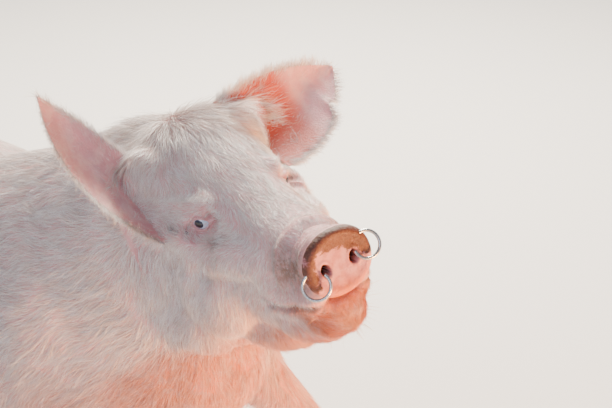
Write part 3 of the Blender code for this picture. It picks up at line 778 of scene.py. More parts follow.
# across the ear's hollow and height of the ridges inside it
EAR_RIDGES = ((0.22, 0.0016), (0.38, 0.0020), (0.55, 0.0018), (0.72, 0.0012))
EAR_ROWS = 64
EAR_COLUMNS = 30
TEAT_PAIRS = 6
# below the belly's skin, and the teat's radius there
TEAT = (
    (-0.006, 0.0105),
    (0, 0.0078),
    (0.005, 0.0058),
    (0.011, 0.0050),
    (0.0135, 0.0036),
    (0.0145, 0.001),
)


def ear_corners(side):
    """An ear's base at the crown, base at the cheek, tip, middle of its base and facing."""
    crown, cheek, tip, facing = (np.array(corner, float) for corner in EARS[side])
    return crown, cheek, tip, (crown + cheek) / 2, facing


def across_shares(columns):
    """Shares of the way across an ear, closer together at its edges: its front, then its back."""
    shares = (1 - np.cos(np.linspace(0, math.pi, columns + 1))) / 2
    return np.concatenate([shares, shares[::-1]])


def ear_grid(side):
    """The ear's points as rings, front then back, with ridges inside its hollow."""
    crown, cheek, tip, base, facing = ear_corners(side)
    facing /= np.linalg.norm(facing)
    push_crown, push_cheek = (np.array(v, float) for v in EAR_PUSH[side])
    axis = (tip - base) / np.linalg.norm(tip - base)
    along = np.linspace(0, 1, EAR_ROWS + 1)[:, None, None] ** 0.9 * 0.992
    across = across_shares(EAR_COLUMNS)[None, :, None]
    behind = np.repeat((0.0, 1.0), EAR_COLUMNS + 1)[None, :, None]
    one = bezier(crown, (crown + tip) / 2 + push_crown, tip, along)
    two = bezier(cheek, (cheek + tip) / 2 + push_cheek, tip, along)
    if side == "left":
        place, width, depth = EAR_NICK
        toward = (one - two) / np.linalg.norm(one - two, axis=2, keepdims=True)
        two = two + toward * depth * bell(along - place, width)
    bow = 1 - (2 * across - 1) ** 2
    middle = one * (1 - across) + two * across
    thick = (EAR_THICKNESS - 0.0012) * (0.30 + 0.70 * np.sqrt(bow)) * (1 - 0.55 * along)
    thick = thick + 0.0035 * bell(across, 0.10) * (1 - along) ** 0.7
    cup = EAR_CUP * (1 - along) ** 0.8 * bow + 0.0005
    ridges = np.zeros_like(bow * along)
    for place, height in EAR_RIDGES:
        ridges += height * bell(across - place + 0.05 * np.sin(5 * along), 0.035)
    ridges = ridges * (1 - behind) * short_of(along, 0.60, 0.35) * smooth01(along / 0.08)
    wave = 0.0012 * np.sin(9 * along + 6 * across) * past(along, 0.2, 0.3)
    off = cup + thick * behind - ridges + wave
    root = EAR_BURIED + 0.030 * (1 - across) ** 3
    return middle - facing * off - axis * root * (1 - along) ** 4


def fine_ear(side):
    """An ear, and for each of its points whether it is in front, and how far across and along."""
    points = from_head(ear_grid(side).reshape(-1, 3))
    columns = 2 * (EAR_COLUMNS + 1)
    bm = bmesh.new()
    corners = [bm.verts.new(point) for point in points]
    for start in range(0, EAR_ROWS * columns, columns):
        for j in range(columns):
            ring = (start + j, start + (j + 1) % columns)
            quad = (*ring, ring[1] + columns, ring[0] + columns)
            bm.faces.new([corners[index] for index in quad])
    bm.faces.new(corners[-columns:])
    front = np.tile(np.repeat((1.0, 0.0), EAR_COLUMNS + 1), EAR_ROWS + 1)
    across = np.tile(across_shares(EAR_COLUMNS), EAR_ROWS + 1)
    along = np.repeat(np.linspace(0, 1, EAR_ROWS + 1), columns)
    return mesh_object("ear", bm), front, across, along


def tuck_behind(body, ear, front, across):
    """Moves the skin of the head that would show through an ear's hollow to just behind it."""
    chosen = np.nonzero((front > 0.5) & (across > 0.05) & (across < 0.95))[0]
    faces, ways = places(ear.data)[chosen], normals(ear.data)[chosen]
    tree = KDTree(len(chosen))
    for index, place in enumerate(faces):
        tree.insert(place, index)
    tree.balance()
    points = places(body.data)
    box = (points > faces.min(0) - 0.01).all(1) & (points < faces.max(0) + 0.01).all(1)
    for index in np.nonzero(box)[0]:
        place, found, gap = tree.find(points[index])
        if gap > 0.012:
            continue
        off = (points[index] - faces[found]) @ ways[found]
        aside = math.sqrt(max(gap**2 - off**2, 0))
        if aside < 0.005 and -0.004 < off < 0.007:
            share = min(1, (0.007 - off) / 0.002) * min(1, (0.005 - aside) / 0.0015)
            points[index] += ways[found] * (-0.0035 - off) * share
    move_to(body.data, points)


def fine_tail():
    rows = []
    for k in range(TAIL_STEPS + 1):
        place, radius = tail_row(k / TAIL_STEPS)
        radius = max(radius - 0.0012, 0.0035) * (1 if k < TAIL_STEPS else 0.4)
        rows.append((*place, radius, radius, radius, 2.0))
    bm = bmesh.new()
    loft(bm, rows, steps=1, sides=TAIL_SIDES)
    return mesh_object("tail_skin", bm)


def make_teats(body):
    """Two rows of small teats under the belly."""
    faces = [list(face.vertices) for face in body.data.polygons]
    tree = BVHTree.FromPolygons(places(body.data).tolist(), faces)
    bm = bmesh.new()
    for way in SIDES.values():
        for k in range(TEAT_PAIRS):
            x, y = -0.235 + 0.092 * k, way * (0.058 + 0.004 * math.sin(k * 2.4))
            place = tree.ray_cast(Vector((x, y, 0.02)), Vector((0, 0, 1)))[0]
            rows = []
            for down, radius in TEAT:
                rows.append((x, y + way * down * 0.2, place.z - down, radius, radius, radius, 2.0))
            loft(bm, rows, steps=2, sides=14)
    return mesh_object("teats", bm)


def joined(parts):
    """One mesh from several, their points in order."""
    bm = bmesh.new()
    for part in parts:
        bm.from_mesh(part.data)
    mesh = bpy.data.meshes.new("skin")
    bm.to_mesh(mesh)
    bm.free()
    for part in parts:
        bpy.data.objects.remove(part)
    return in_scene("skin", mesh)


# ---------------------------------------------------------------- places on the skin

BODY, EAR_LEFT, EAR_RIGHT, TAIL = range(4)


class Spots:
    """Places on the skin: points and normals, the part that each is on, and its place on an ear.

    front is 1 in an ear's hollow and 0 behind it.
    across goes from an ear's edge at the crown (0) to its edge at the cheek (1).
    along goes from the base (0) of an ear or of the tail to its tip (1).
    local, x, y and z are in the head's frame, and points and height in the sow's.
    """

    def __init__(self, points, normals, part, front, across, along):
        self.points, self.normals, self.part = points, normals, part
        self.front, self.across, self.along = front, across, along
        self.local = to_head(points)
        self.x, self.y, self.z = self.local.T
        self.height = points[:, 2]
        self.on_ear = (part == EAR_LEFT) | (part == EAR_RIGHT)
        self.rim = np.minimum(across, 1 - across)


def make_skin():
    """The one skin of the sow, and its points as spots."""
    body = finished_body()
    ears = [fine_ear(side) for side in SIDES]
    for ear, front, across, _ in ears:
        tuck_behind(body, ear, front, across)
    teats, tail = make_teats(body), fine_tail()
    count = len(body.data.vertices) + len(teats.data.vertices)
    tail_along = np.repeat(np.arange(TAIL_STEPS + 1) / TAIL_STEPS, TAIL_SIDES)
    # front, across and along of the body, of each ear and of the tail
    rows = [(np.zeros(count), np.full(count, 0.5), np.full(count, -1.0))]
    rows += [ear[1:] for ear in ears]
    rows.append((np.zeros(len(tail_along)), np.full(len(tail_along), 0.5), tail_along))
    part = np.concatenate([np.full(len(row[0]), number) for number, row in enumerate(rows)])
    front, across, along = (np.concatenate(column) for column in zip(*rows))
    skin = joined([body, teats] + [ear[0] for ear in ears] + [tail])
    return skin, Spots(places(skin.data), normals(skin.data), part, front, across, along)


# ---------------------------------------------------------------- marks and painted light on skin and coat

# ahead of the eyes, to the side, height, size and strength of the stains below and behind each eye
TEARS = (
    (0.034, 0.064, -0.020, 0.012, 0.8),
    (0.029, 0.067, -0.036, 0.012, 0.7),
    (0.020, 0.071, -0.052, 0.013, 0.6),
    (0.012, 0.076, -0.062, 0.012, 0.4),
    (-0.020, 0.086, -0.004, 0.010, 0.30),
)
# the same for the dark spots round the eyes
SPOTS = (
    (-0.023, 0.089, -0.006, 0.0045, 0.75),
    (-0.014, 0.080, -0.009, 0.0035, 0.8),
    (0.047, 0.054, -0.003, 0.0032, 0.8),
    (0.030, 0.064, -0.013, 0.0028, 0.7),
    (0.040, 0.060, -0.030, 0.0040, 0.5),
)
LEFT_MARKS = 0.8  # strength of these marks on the left side, against the right


def near_marks(at, rows):
    """How strongly each place is marked by any of the rows."""
    found = np.zeros(len(at.points))
    for x, y, z, size, amount in rows:
        for way in SIDES.values():
            gap = np.hypot(np.hypot(at.x - x, at.y - way * y), at.z - z)
            found = np.maximum(found, bell(gap, size) * amount * (1 if way < 0 else LEFT_MARKS))
    return found


def marks_of(at):
    """Marks by place, each from 0 to 1, in two sets.

    The first holds mud, red soil dust with painted orange bounce light, brown with a painted shade line
    along the mouth, and painted shade in the nostrils.
    The second holds inner ear (with a painted red glow of backlight in the left ear), bare disc, spots
    and the ear's front.
    """
    x, y, z = at.x, at.y, at.z
    side, up = np.abs(y), z - SNOUT_Z
    around = np.hypot(y / SNOUT_HALF, up / SNOUT_RISE)
    disc = past(x, 0.193, 0.005) * (around < 1.15)
    mud = disc * past(up + 0.35 * y + 0.30 * side, 0.004, 0.026)
    low_right = short_of(y, -0.024, 0.012) * past(up, -0.034, 0.02)
    rim = past(around, 0.86, 0.12) * past(x, 0.193, 0.004) * past(up, -0.02, 0.03)
    mud = np.maximum.reduce([mud, disc * 0.85 * low_right, 0.8 * rim])
    # chin, lower disc and legs: red soil dust; throat, jaw, chest and belly: painted orange bounce light
    # from below
    chin = past(x, 0.110, 0.05) * short_of(z, -0.080, 0.020)
    low_disc = disc * short_of(up, -0.016, 0.022)
    throat = smooth01((-0.108 - z - 0.25 * (x < 0.1) * (0.1 - x)) / 0.05) * past(x, -0.28, 0.12)
    jaw = short_of(z, -0.088, 0.06) * past(x, -0.10, 0.10)
    legs = short_of(at.height, 0.22, 0.20)
    chest_bounce_light = short_of(at.height, 0.60, 0.14) * past(at.points[:, 0], 0.36, 0.14)
    belly = short_of(at.height, 0.52, 0.20)
    soil = [chin, low_disc, 0.85 * throat, 0.40 * jaw, legs * 0.85, chest_bounce_light * 0.60, belly * 0.22]
    dust_and_bounce = np.maximum.reduce(soil)
    behind = past(x, 0.112, 0.024) * short_of(x, 0.192, 0.008)
    patch = behind * bell(up - 0.002, 0.032) * past(side, 0.020, 0.016)
    edge = past(x, 0.176, 0.01) * short_of(x, 0.196, 0.004)
    # painted shade along the mouth's groove
    mouth = bell(z - mouth_height(x), 0.004) * past(x, MOUTH_X, 0.02) * (side < 0.075)
    tears = near_marks(at, TEARS)
    brown = np.maximum.reduce([1.15 * tears, 0.92 * patch, 0.35 * edge, 0.8 * mouth])
    # painted shade inside the nostrils
    nostril_shade = np.zeros(len(x))
    for way in SIDES.values():
        sunk = short_of(nostril_reach(at.local, way), 1.15, 0.25)
        sunk = sunk * short_of(x, SNOUT_X + 0.001, 0.004)
        nostril_shade = np.maximum(nostril_shade, sunk * (x > SNOUT_X - 0.035))
    ear_front = at.on_ear * (at.front > 0.5)
    # the left ear's hollow carries a painted red glow of backlight over the inner ear's own red; the
    # right ear only its own red
    glow_share = np.where(at.part == EAR_LEFT, 1.0, 0.30) * short_of(at.along, 0.64, 0.42)
    inner = ear_front * glow_share * (1 - 0.35 * smooth01(at.across))
    rows = (mud, dust_and_bounce, brown, nostril_shade, disc, near_marks(at, SPOTS))
    mud, dust_and_bounce, brown, nostril_shade, disc, dark = (row * (at.part == BODY) for row in rows)
    return np.stack([mud, dust_and_bounce, brown, nostril_shade], 1), np.stack([inner, disc, dark, ear_front], 1)


def write_marks(mesh, first, second):
    for name, values in (("stains_and_painted_light", first), ("bare", second)):
        layer = mesh.color_attributes.new(name, "FLOAT_COLOR", "POINT")
        layer.data.foreach_set("color", values.astype(np.float32).ravel())


# ---------------------------------------------------------------- materials

MUD = (0.075, 0.022, 0.009)
DRY_MUD = (0.14, 0.046, 0.020)
# orange of red soil dust, and of painted bounce light from below
DUST_AND_BOUNCE_ORANGE = (0.66, 0.15, 0.010)
BROWN = (0.23, 0.13, 0.09)
SPOT = (0.07, 0.065, 0.085)
# painted shade inside the nostrils
NOSTRIL_SHADE = (0.022, 0.008, 0.006)
# inner ear red, with painted glow of backlight
INNER_EAR_AND_GLOW = (0.56, 0.065, 0.028)


class Look:
    """A material's node tree, written with short calls."""

    def __init__(self, name):
        self.material = bpy.data.materials.new(name)
        self.material.use_nodes = True
        self.nodes = self.material.node_tree.nodes
        self.links = self.material.node_tree.links
        self.shader = self.nodes["Principled BSDF"]
        self.place = self.add("ShaderNodeTexCoord").outputs["Object"]

    def add(self, kind, **settings):
        node = self.nodes.new(kind)
        for key, value in settings.items():
            setattr(node, key, value)
        return node

    def link(self, source, target):
        self.links.new(source, target)

    def set(self, **values):
        for key, value in values.items():
            self.shader.inputs[key.replace("_", " ")].default_value = value


    def noise(self, scale, detail=3.0, roughness=0.55, place=None):
        node = self.add("ShaderNodeTexNoise")
        for key, number in (("Scale", scale), ("Detail", detail), ("Roughness", roughness)):
            node.inputs[key].default_value = number
        self.link(place or self.place, node.inputs["Vector"])
        return node.outputs["Fac"]

    def math(self, kind, one, two):
        node = self.add("ShaderNodeMath", operation=kind)
        for slot, value in enumerate((one, two)):
            if isinstance(value, (int, float)):
                node.inputs[slot].default_value = value
            else:
                self.link(value, node.inputs[slot])
        return node.outputs[0]

    def plus(self, one, two):
        return self.math("ADD", one, two)

    def times(self, one, two):
        return self.math("MULTIPLY", one, two)

    def ramp(self, value, low, high, start=0.0, end=1.0):
        """From the start to the end, while the value goes from low to high."""
        node = self.add("ShaderNodeMapRange", interpolation_type="SMOOTHSTEP")
        self.link(value, node.inputs["Value"])
        for key, number in (("From Min", low), ("From Max", high), ("To Min", start), ("To Max", end)):
            node.inputs[key].default_value = number
        return node.outputs["Result"]

    def mix(self, share, one, two):
        """The first colour where the share is 0, the second where it is 1."""
        node = self.add("ShaderNodeMix", data_type="RGBA")
        for socket, value in ((node.inputs[0], share), (node.inputs[6], one), (node.inputs[7], two)):
            if isinstance(value, tuple):
                socket.default_value = (*value, 1)
            else:
                self.link(value, socket)
        return node.outputs[2]

    def patches(self, scale, detail, low, high, one, two):
        """Patches of two colours, mixed where the noise is between low and high."""
        return self.mix(self.ramp(self.noise(scale, detail), low, high), one, two)

    def attribute(self, name):
        node = self.add("ShaderNodeAttribute", attribute_name=name)
        split = self.add("ShaderNodeSeparateColor")
        self.link(node.outputs["Color"], split.inputs["Color"])
        return (*split.outputs, node.outputs["Alpha"])

    def colour(self, source):
        self.link(source, self.shader.inputs["Base Color"])

    def roughness(self, source, start, end, high=0.7):
        """Roughness from the start to the end, with the source's noise."""
        self.link(self.ramp(source, 0.3, high, start, end), self.shader.inputs["Roughness"])

    def bump(self, height, distance, strength=1.0):
        node = self.add("ShaderNodeBump")
        node.inputs["Distance"].default_value = distance
        node.inputs["Strength"].default_value = strength
        self.link(height, node.inputs["Height"])
        self.link(node.outputs["Normal"], self.shader.inputs["Normal"])


def with_marks_and_painted_light(look, base, strength):
    """A base colour under the marks that skin and coat share, with painted orange bounce light and
    painted shade.
    """
    mud, dust_and_bounce, brown, nostril_shade = look.attribute("stains_and_painted_light")
    spots = look.attribute("bare")[2]
    fine = look.noise(360, 4, 0.6)
    both = look.plus(look.times(look.noise(75, 6, 0.66), 0.7), look.times(fine, 0.3))
    # red soil dust and painted orange bounce light from below
    dusted_and_bounce_lit = look.times(dust_and_bounce, look.ramp(both, 0.30, 0.60, 0.55, 1.0))
    out = look.mix(look.times(dusted_and_bounce_lit, 0.95 * strength), base, DUST_AND_BOUNCE_ORANGE)
    # tear stains and brown patches, with painted shade along the mouth
    browned_and_shaded = look.times(brown, look.ramp(both, 0.36, 0.60, 0.35, 1.0))
    out = look.mix(look.times(browned_and_shaded, strength), out, BROWN)
    worn = look.plus(look.times(mud, 0.50), look.times(both, 1.35))
    earth = look.mix(look.ramp(fine, 0.35, 0.65), MUD, DRY_MUD)
    out = look.mix(look.ramp(worn, 0.92, 1.06, 0.0, 0.94 * strength), out, earth)
    out = look.mix(look.times(look.ramp(spots, 0.25, 0.6), 0.8 * strength), out, SPOT)
    # painted shade inside the nostrils
    return look.mix(nostril_shade, out, NOSTRIL_SHADE)


def skin_look():
    look = Look("pink_skin")
    inner, disc, _, ear_front = look.attribute("bare")
    base = look.patches(30, 4, 0.35, 0.68, (0.84, 0.46, 0.44), (0.72, 0.33, 0.33))
    mottle = look.ramp(look.noise(240, 3), 0.40, 0.70, 0.0, 0.5)
    base = look.mix(mottle, base, (0.88, 0.58, 0.56))
    pale = look.patches(55, 4, 0.38, 0.62, (0.92, 0.58, 0.56), (0.82, 0.42, 0.44))
    base = look.mix(look.times(ear_front, 0.8), base, pale)
    # inner ear red, with a painted glow of backlight through the left ear
    base = look.mix(look.times(look.ramp(inner, 0.15, 0.80), 0.95), base, INNER_EAR_AND_GLOW)
    lilac = look.patches(90, 3, 0.35, 0.65, (0.54, 0.20, 0.20), (0.66, 0.31, 0.31))
    look.colour(with_marks_and_painted_light(look, look.mix(disc, base, lilac), 1.0))
    look.roughness(look.noise(160, 3), 0.40, 0.60)
    look.set(Specular_IOR_Level=0.42, Subsurface_Weight=0.22, Subsurface_Scale=0.006)
    look.set(Subsurface_Radius=(1.0, 0.35, 0.2))
    pores = look.plus(look.noise(1100, 4, 0.6), look.times(look.noise(330, 4), 1.6))
    look.bump(look.plus(pores, look.times(disc, look.noise(260, 3))), 0.0008, 0.8)
    return look.material


def coat_look():
    look = Look("white_bristle")
    tone_and_root_shade = look.attribute("bare")[3]
    pale = look.patches(60, 3, 0.35, 0.65, (0.90, 0.84, 0.78), (0.97, 0.93, 0.90))
    # dark where the tone is low: darker bristles at random and painted shade at the roots
    base = look.mix(look.ramp(tone_and_root_shade, 0.0, 0.85), (0.60, 0.42, 0.38), pale)
    look.colour(with_marks_and_painted_light(look, base, 0.86))
    look.roughness(look.noise(200, 2), 0.36, 0.52)
    look.set(Specular_IOR_Level=0.5)
    return look.material


def eye_look():
    """Pupil, iris, its dark edge and the bluish white, by the angle from the gaze in the UV's height."""
    look = Look("dark_eye")
    place = look.add("ShaderNodeTexCoord").outputs["UV"]
    split = look.add("ShaderNodeSeparateXYZ")
    look.link(place, split.inputs["Vector"])
    off = split.outputs["Y"]
    iris = look.mix(look.ramp(off, 0.26, 0.30), (0.004, 0.004, 0.007), (0.030, 0.034, 0.060))
    iris = look.mix(look.ramp(off, 0.42, 0.48), iris, (0.006, 0.010, 0.022))
    white = look.patches(500, 3, 0.45, 0.75, (0.62, 0.74, 0.90), (0.66, 0.52, 0.56))
    look.colour(look.mix(look.ramp(off, 0.47, 0.54), iris, white))
    look.roughness(look.noise(300, 2), 0.05, 0.09)
    look.set(Specular_IOR_Level=0.5, Coat_Weight=0.7, Coat_Roughness=0.03)
    return look.material


def caruncle_look():
    look = Look("wet_pink")
    look.colour(look.patches(700, 3, 0.35, 0.65, (0.66, 0.30, 0.30), (0.75, 0.45, 0.46)))
    look.roughness(look.noise(500, 2), 0.15, 0.3)
    look.bump(look.noise(900, 3), 0.0004)
    return look.material


def steel_look():
    look = Look("ring_steel")
    scratched = look.noise(900, 4, 0.7)
    look.colour(look.mix(look.ramp(scratched, 0.4, 0.7), (0.60, 0.61, 0.62), (0.40, 0.38, 0.36)))
    look.roughness(scratched, 0.16, 0.42, 0.75)
    look.set(Metallic=1.0)
    look.bump(look.noise(700, 3), 0.00012)
    return look.material


def horn_look():
    """Horn with upright streaks, and soil on its lowest part."""
    look = Look("hoof_horn")
    stretch = look.add("ShaderNodeMapping")
    stretch.inputs["Scale"].default_value = (1, 1, 0.12)
    look.link(look.place, stretch.inputs["Vector"])
    streaks = look.noise(420, 4, 0.6, stretch.outputs["Vector"])
    base = look.mix(look.ramp(streaks, 0.35, 0.65), (0.36, 0.27, 0.19), (0.16, 0.11, 0.08))
    split = look.add("ShaderNodeSeparateXYZ")
    look.link(look.place, split.inputs["Vector"])
    height = look.plus(split.outputs["Z"], look.times(look.noise(130, 4), -0.03))
    look.colour(look.mix(look.ramp(height, 0.004, -0.008), base, (0.27, 0.12, 0.06)))
    look.roughness(streaks, 0.45, 0.7)
    look.bump(streaks, 0.0006)
    return look.material


# ---------------------------------------------------------------- eyes, rings and claws

GAZE = {"left": (0.66, 1, -0.12), "right": (-0.08, -1, -0.12)}
CORNEA = 0.05  # how far the eyeball bulges at its gaze, as a share of its radius
PINK_AT = (0.0128, 0.0030, -0.0006)
PINK_RADII = (0.0075, 0.0050, 0.0036)
# centre from the disc's centre (ahead, left, up), the way that the ring faces and its hidden part
RINGS = {
    "left": ((0.004, 0.0375, 0.005), (0.95, -0.10, 0.30), math.radians(150)),
    "right": ((0.003, -0.0395, -0.011), (0.86, -0.40, 0.32), math.radians(70)),
}
RING_OPENING = math.radians(64)
RING_STEPS = 96
WIRE_SIDES = 16
# place of each foot (ahead, left) and its turn in degrees
FEET = {
    "foreleg_left": (0.812, 0.204, 8),
    "foreleg_right": (0.408, -0.141, -4),
    "hindleg_left": (-0.298, 0.141, 6),
    "hindleg_right": (-0.396, -0.141, -6),
}
CLAWS = {"inner": -1, "outer": 1}
CLAW_RINGS = 17
CLAW_SIDES = 40
# share of a dewclaw's length, and its radius there
DEWCLAW = ((0, 0.011), (0.25, 0.0108), (0.5, 0.010), (0.75, 0.0082), (0.9, 0.006), (1, 0.003))


def make_eyeball(side):
    """A wet eyeball looking outwards, with the pink corner in front of it."""
    way = SIDES[side]
    bm = bmesh.new()
    bmesh.ops.create_uvsphere(bm, u_segments=48, v_segments=32, radius=EYE_RADIUS)
    gaze = Vector(GAZE[side]).normalized()
    layer = bm.loops.layers.uv.new("gaze")
    for vertex in bm.verts:
        off = vertex.co.normalized().angle(gaze)
        vertex.co *= 1 + CORNEA * math.exp(-((off / 0.40) ** 2))
    for face in bm.faces:
        for loop in face.loops:
            loop[layer].uv = (0, loop.vert.co.normalized().angle(gaze))
    x, y, z = PINK_AT
    place = Matrix.Translation((x, way * y, z)) @ Matrix.Diagonal((*PINK_RADII, 1))
    corner = bmesh.ops.create_uvsphere(bm, u_segments=20, v_segments=12, radius=1, matrix=place)
    pink = set(corner["verts"])
    for face in bm.faces:
        face.material_index = int(all(vertex in pink for vertex in face.verts))
    socket = Matrix.Translation((EYE_X - EYE_BACK, EYE_Y * way, 0))
    turn = Matrix.Rotation(-EYE_TURN * way, 4, "Z") @ Matrix.Translation((0, way * EYE_OUT[way], 0))
    bmesh.ops.transform(bm, matrix=HEAD @ socket @ turn, verts=bm.verts)
    return mesh_object("eye", bm)


def make_ring(side):
    """A round wire bent into a ring whose ends meet inside the flesh."""
    offset, facing, hidden = RINGS[side]
    centre = Vector((SNOUT_X, 0, SNOUT_Z)) + Vector(offset)
    turn = Vector(facing).to_track_quat("Z", "Y").to_matrix().to_4x4()
    place = HEAD @ Matrix.Translation(centre) @ turn
    rings = []
    for k in range(RING_STEPS + 1):
        angle = hidden + RING_OPENING / 2 + (2 * math.pi - RING_OPENING) * k / RING_STEPS
        radial = Vector((math.cos(angle), math.sin(angle), 0))
        wire = RING_WIRE * (0.96 if k in (0, RING_STEPS) else 1)
        ring = []
        for j in range(WIRE_SIDES):
            around = 2 * math.pi * j / WIRE_SIDES
            out = radial * (RING_RADIUS + wire * math.cos(around))
            ring.append(place @ (out + Vector((0, 0, wire * math.sin(around)))))
        rings.append(ring)
    bm = bmesh.new()
    skin_rings(bm, rings)
    return mesh_object("ring", bm)


def foot_frame(name):
    x, y, turn = FEET[name]
    return Matrix.Translation((x, y, 0)) @ Matrix.Rotation(math.radians(turn), 4, "Z")


def claw_rings(foot, way):
    """One main claw with growth rings in its wall."""
    rings = []
    for k in range(CLAW_RINGS):
        share = k / (CLAW_RINGS - 1)
        size = 1 - 0.20 * share - 0.05 * math.exp(-share / 0.03)
        size += 0.010 * math.sin(share * 34) * (0.05 < share)
        ring = []
        for j in range(CLAW_SIDES):
            angle = 2 * math.pi * j / CLAW_SIDES
            ahead = HOOF_LENGTH / 2 * math.cos(angle) * size - 0.017 * share
            across = HOOF_WIDTH / 2 * math.sin(angle) * (1 - 0.22 * math.cos(angle)) * size
            corner = Vector((ahead, across + way * CLAW_APART / 2, HOOF_HEIGHT * share))
            ring.append(foot_frame(foot) @ corner)
        rings.append(ring)
    return rings


def make_claws(foot):
    """The two main claws and the two dewclaws of a foot."""
    bm = bmesh.new()
    for claw in CLAWS.values():
        way = claw * (1 if foot.endswith("left") else -1)
        skin_rings(bm, claw_rings(foot, way))
        tip = Vector((-0.062, way * 0.027, 0.038))
        root = Vector((-0.040, way * 0.018, 0.085))
        rows = []
        for share, radius in DEWCLAW:
            rows.append((*(foot_frame(foot) @ root.lerp(tip, share)), radius, radius, radius, 2.0))
        loft(bm, rows, steps=3, sides=24)
    return mesh_object("claws", bm)


# ---------------------------------------------------------------- coat: lie, length, lift and thickness

WHORL = np.array((-0.140, 0.0, 0.085))
LEG_LIE = np.array((-0.22, 0, -1.0))
TAIL_LIE = np.array((-0.5, 0.2, -0.8))
SLIT_FADE = 0.016  # how far from an eye's opening the bristles are shortened
HOLLOW_BARE = {1: 1.0, -1: 0.35}  # how bare the hollow in front of each eye is


def hash_noise(points, size, seed):
    """Smooth noise from about -1 to 1 over space, with features of about the given size."""
    rng = np.random.default_rng(seed)
    total = np.zeros(len(points))
    for _ in range(6):
        way = unit(rng.normal(size=3))
        turns = 2 * math.pi / (size * rng.uniform(0.7, 1.5))
        total += np.sin(points @ way * turns + rng.uniform(0, 6.28))
    return total / 3


def lie_of(at):
    """The way that the coat lies, before it is laid along the skin."""
    slope = np.radians(18 + 50 * short_of(at.height, 0.74, 0.40))
    body = np.stack([-np.cos(slope), 0 * slope, -np.sin(slope)], 1)
    leg = short_of(at.height, 0.42, 0.12)[:, None]
    body = unit(body * (1 - leg) + LEG_LIE * leg)
    from_whorl = unit(at.local - WHORL)
    low = short_of(at.z, 0.005, 0.055)
    back = np.stack([-1 + 0.55 * low, 0 * at.x, -0.12 - 0.75 * low], 1)
    at_side = past(np.abs(at.y), 0.028, 0.030) * short_of(at.z, 0.060, 0.045)
    at_side = at_side[:, None]
    head = head_ways(unit(from_whorl * (1 - at_side) + back * at_side))
    share = past(at.x, -0.19, 0.10)[:, None]
    ways = unit(body * (1 - share) + head * share)
    for number, side in enumerate(SIDES, EAR_LEFT):
        chosen = at.part == number
        crown, cheek, tip, base, _ = ear_corners(side)
        fan = short_of(at.rim[chosen], 0.30, 0.30) * np.where(at.front[chosen] > 0.5, 1.6, 0.9)
        fan = np.where(at.across[chosen] > 0.5, 1, -1) * fan
        axis, over = head_ways(unit(tip - base)), head_ways(unit(cheek - crown))
        ways[chosen] = unit(axis + over * fan[:, None])
    ways[at.part == TAIL] = TAIL_LIE
    return ways


def slit_nearness(local):
    """How near each place is to an eye's opening: 1 at its edge, 0 from SLIT_FADE on."""
    near = np.zeros(len(local))
    for way in SIDES.values():
        along, up, out = eye_local(local, way)
        close = (np.hypot(along, up) < 0.05) & (out > -0.02)
        here = short_of(slit_edge(along, up), SLIT_FADE, SLIT_FADE)
        near = np.maximum(near, np.where(close, here, 0))
    return near


def hollow_nearness(local):
    """How near each place is to the hollow in front of an eye, 1 at the left one's middle."""
    near = np.zeros(len(local))
    for way, amount in HOLLOW_BARE.items():
        along, up, out = eye_local(local, way)
        here = bell(along - 0.020, 0.021) * bell(up - 0.007, 0.018) * (out > -0.02)
        near = np.maximum(near, amount * here)
    return near


def length_of(at):
    face = past(at.x, -0.16, 0.14)
    muzzle = past(at.x, 0.06, 0.08)
    length = 0.034 - 0.018 * face - 0.008 * muzzle
    low = short_of(at.height, 0.40, 0.2)
    length = length * (1 - 0.45 * low)
    crest = bell(at.points[:, 1] + 0.01, 0.05) * past(at.height, 0.72, 0.05) * (1 - face)
    length += 0.010 * crest
    length += 0.002 * bell(at.x + 0.12, 0.05) * past(at.z, 0.05, 0.04)  # poll
    length += 0.006 * short_of(at.z, -0.094, 0.01) * past(at.x, 0.10, 0.04)  # chin
    length *= (1 - 0.72 * slit_nearness(at.local)) * (1 - 0.80 * hollow_nearness(at.local))
    on_ear = np.where(at.front > 0.5, 0.009, 0.010) + 0.006 * bell(at.rim, 0.10)
    length = np.where(at.on_ear, on_ear, length)
    tail = at.part == TAIL
    length[tail] = 0.012 + 0.030 * past(at.along[tail], 0.80, 0.2)
    return length


def lift_of(at):
    """How steeply the bristles leave the skin."""
    face = past(at.x, -0.14, 0.12)
    lift = 0.16 + 0.06 * face
    crest = bell(at.points[:, 1] + 0.01, 0.045) * past(at.height, 0.74, 0.05)
    poll = bell(at.x + 0.12, 0.06) * past(at.z, 0.05, 0.04)
    lift += 0.22 * crest * (1 - face) + 0.12 * poll
    lift *= 1 - 0.7 * hollow_nearness(at.local)
    lift[at.on_ear] = 0.22
    return lift


def thickness_share(at):
    """How closely the bristles stand, as a share of the densest."""
    face = past(at.x, -0.14, 0.10)
    share = 0.26 + 0.74 * face
    share += 0.10 * past(at.x, -0.34, 0.12) * (1 - face)
    low = short_of(at.height, 0.42, 0.1) * (1 - face)
    belly = short_of(at.height, 0.56, 0.08) * (at.points[:, 0] < 0.30) * (1 - face)
    share *= 1 - 0.30 * np.maximum(low, belly)
    share *= 1 + 1.5 * bell(np.linalg.norm(at.local - WHORL, axis=1), 0.035)
    share *= 1 - past(at.x, 0.180, 0.008) * (at.z > -0.092)  # the bare disc
    chin = short_of(at.z, -0.094, 0.010)
    share *= 1 + (0.9 * chin - 0.35) * past(at.x, 0.12, 0.05)
    near = slit_nearness(at.local)
    share *= (1 - 0.70 * near) * (1 - 0.85 * hollow_nearness(at.local))
    share[near > 0.90] = 0
    inside = 0.06 + 0.20 * short_of(at.rim, 0.30, 0.3) + 2.4 * bell(at.rim, 0.05)
    on_ear = np.where(at.front > 0.5, inside, 0.50 + 0.8 * bell(at.rim, 0.06))
    share = np.where(at.on_ear, on_ear, share)
    share[at.height < 0.045] = 0
    return share


# ---------------------------------------------------------------- coat: bristles

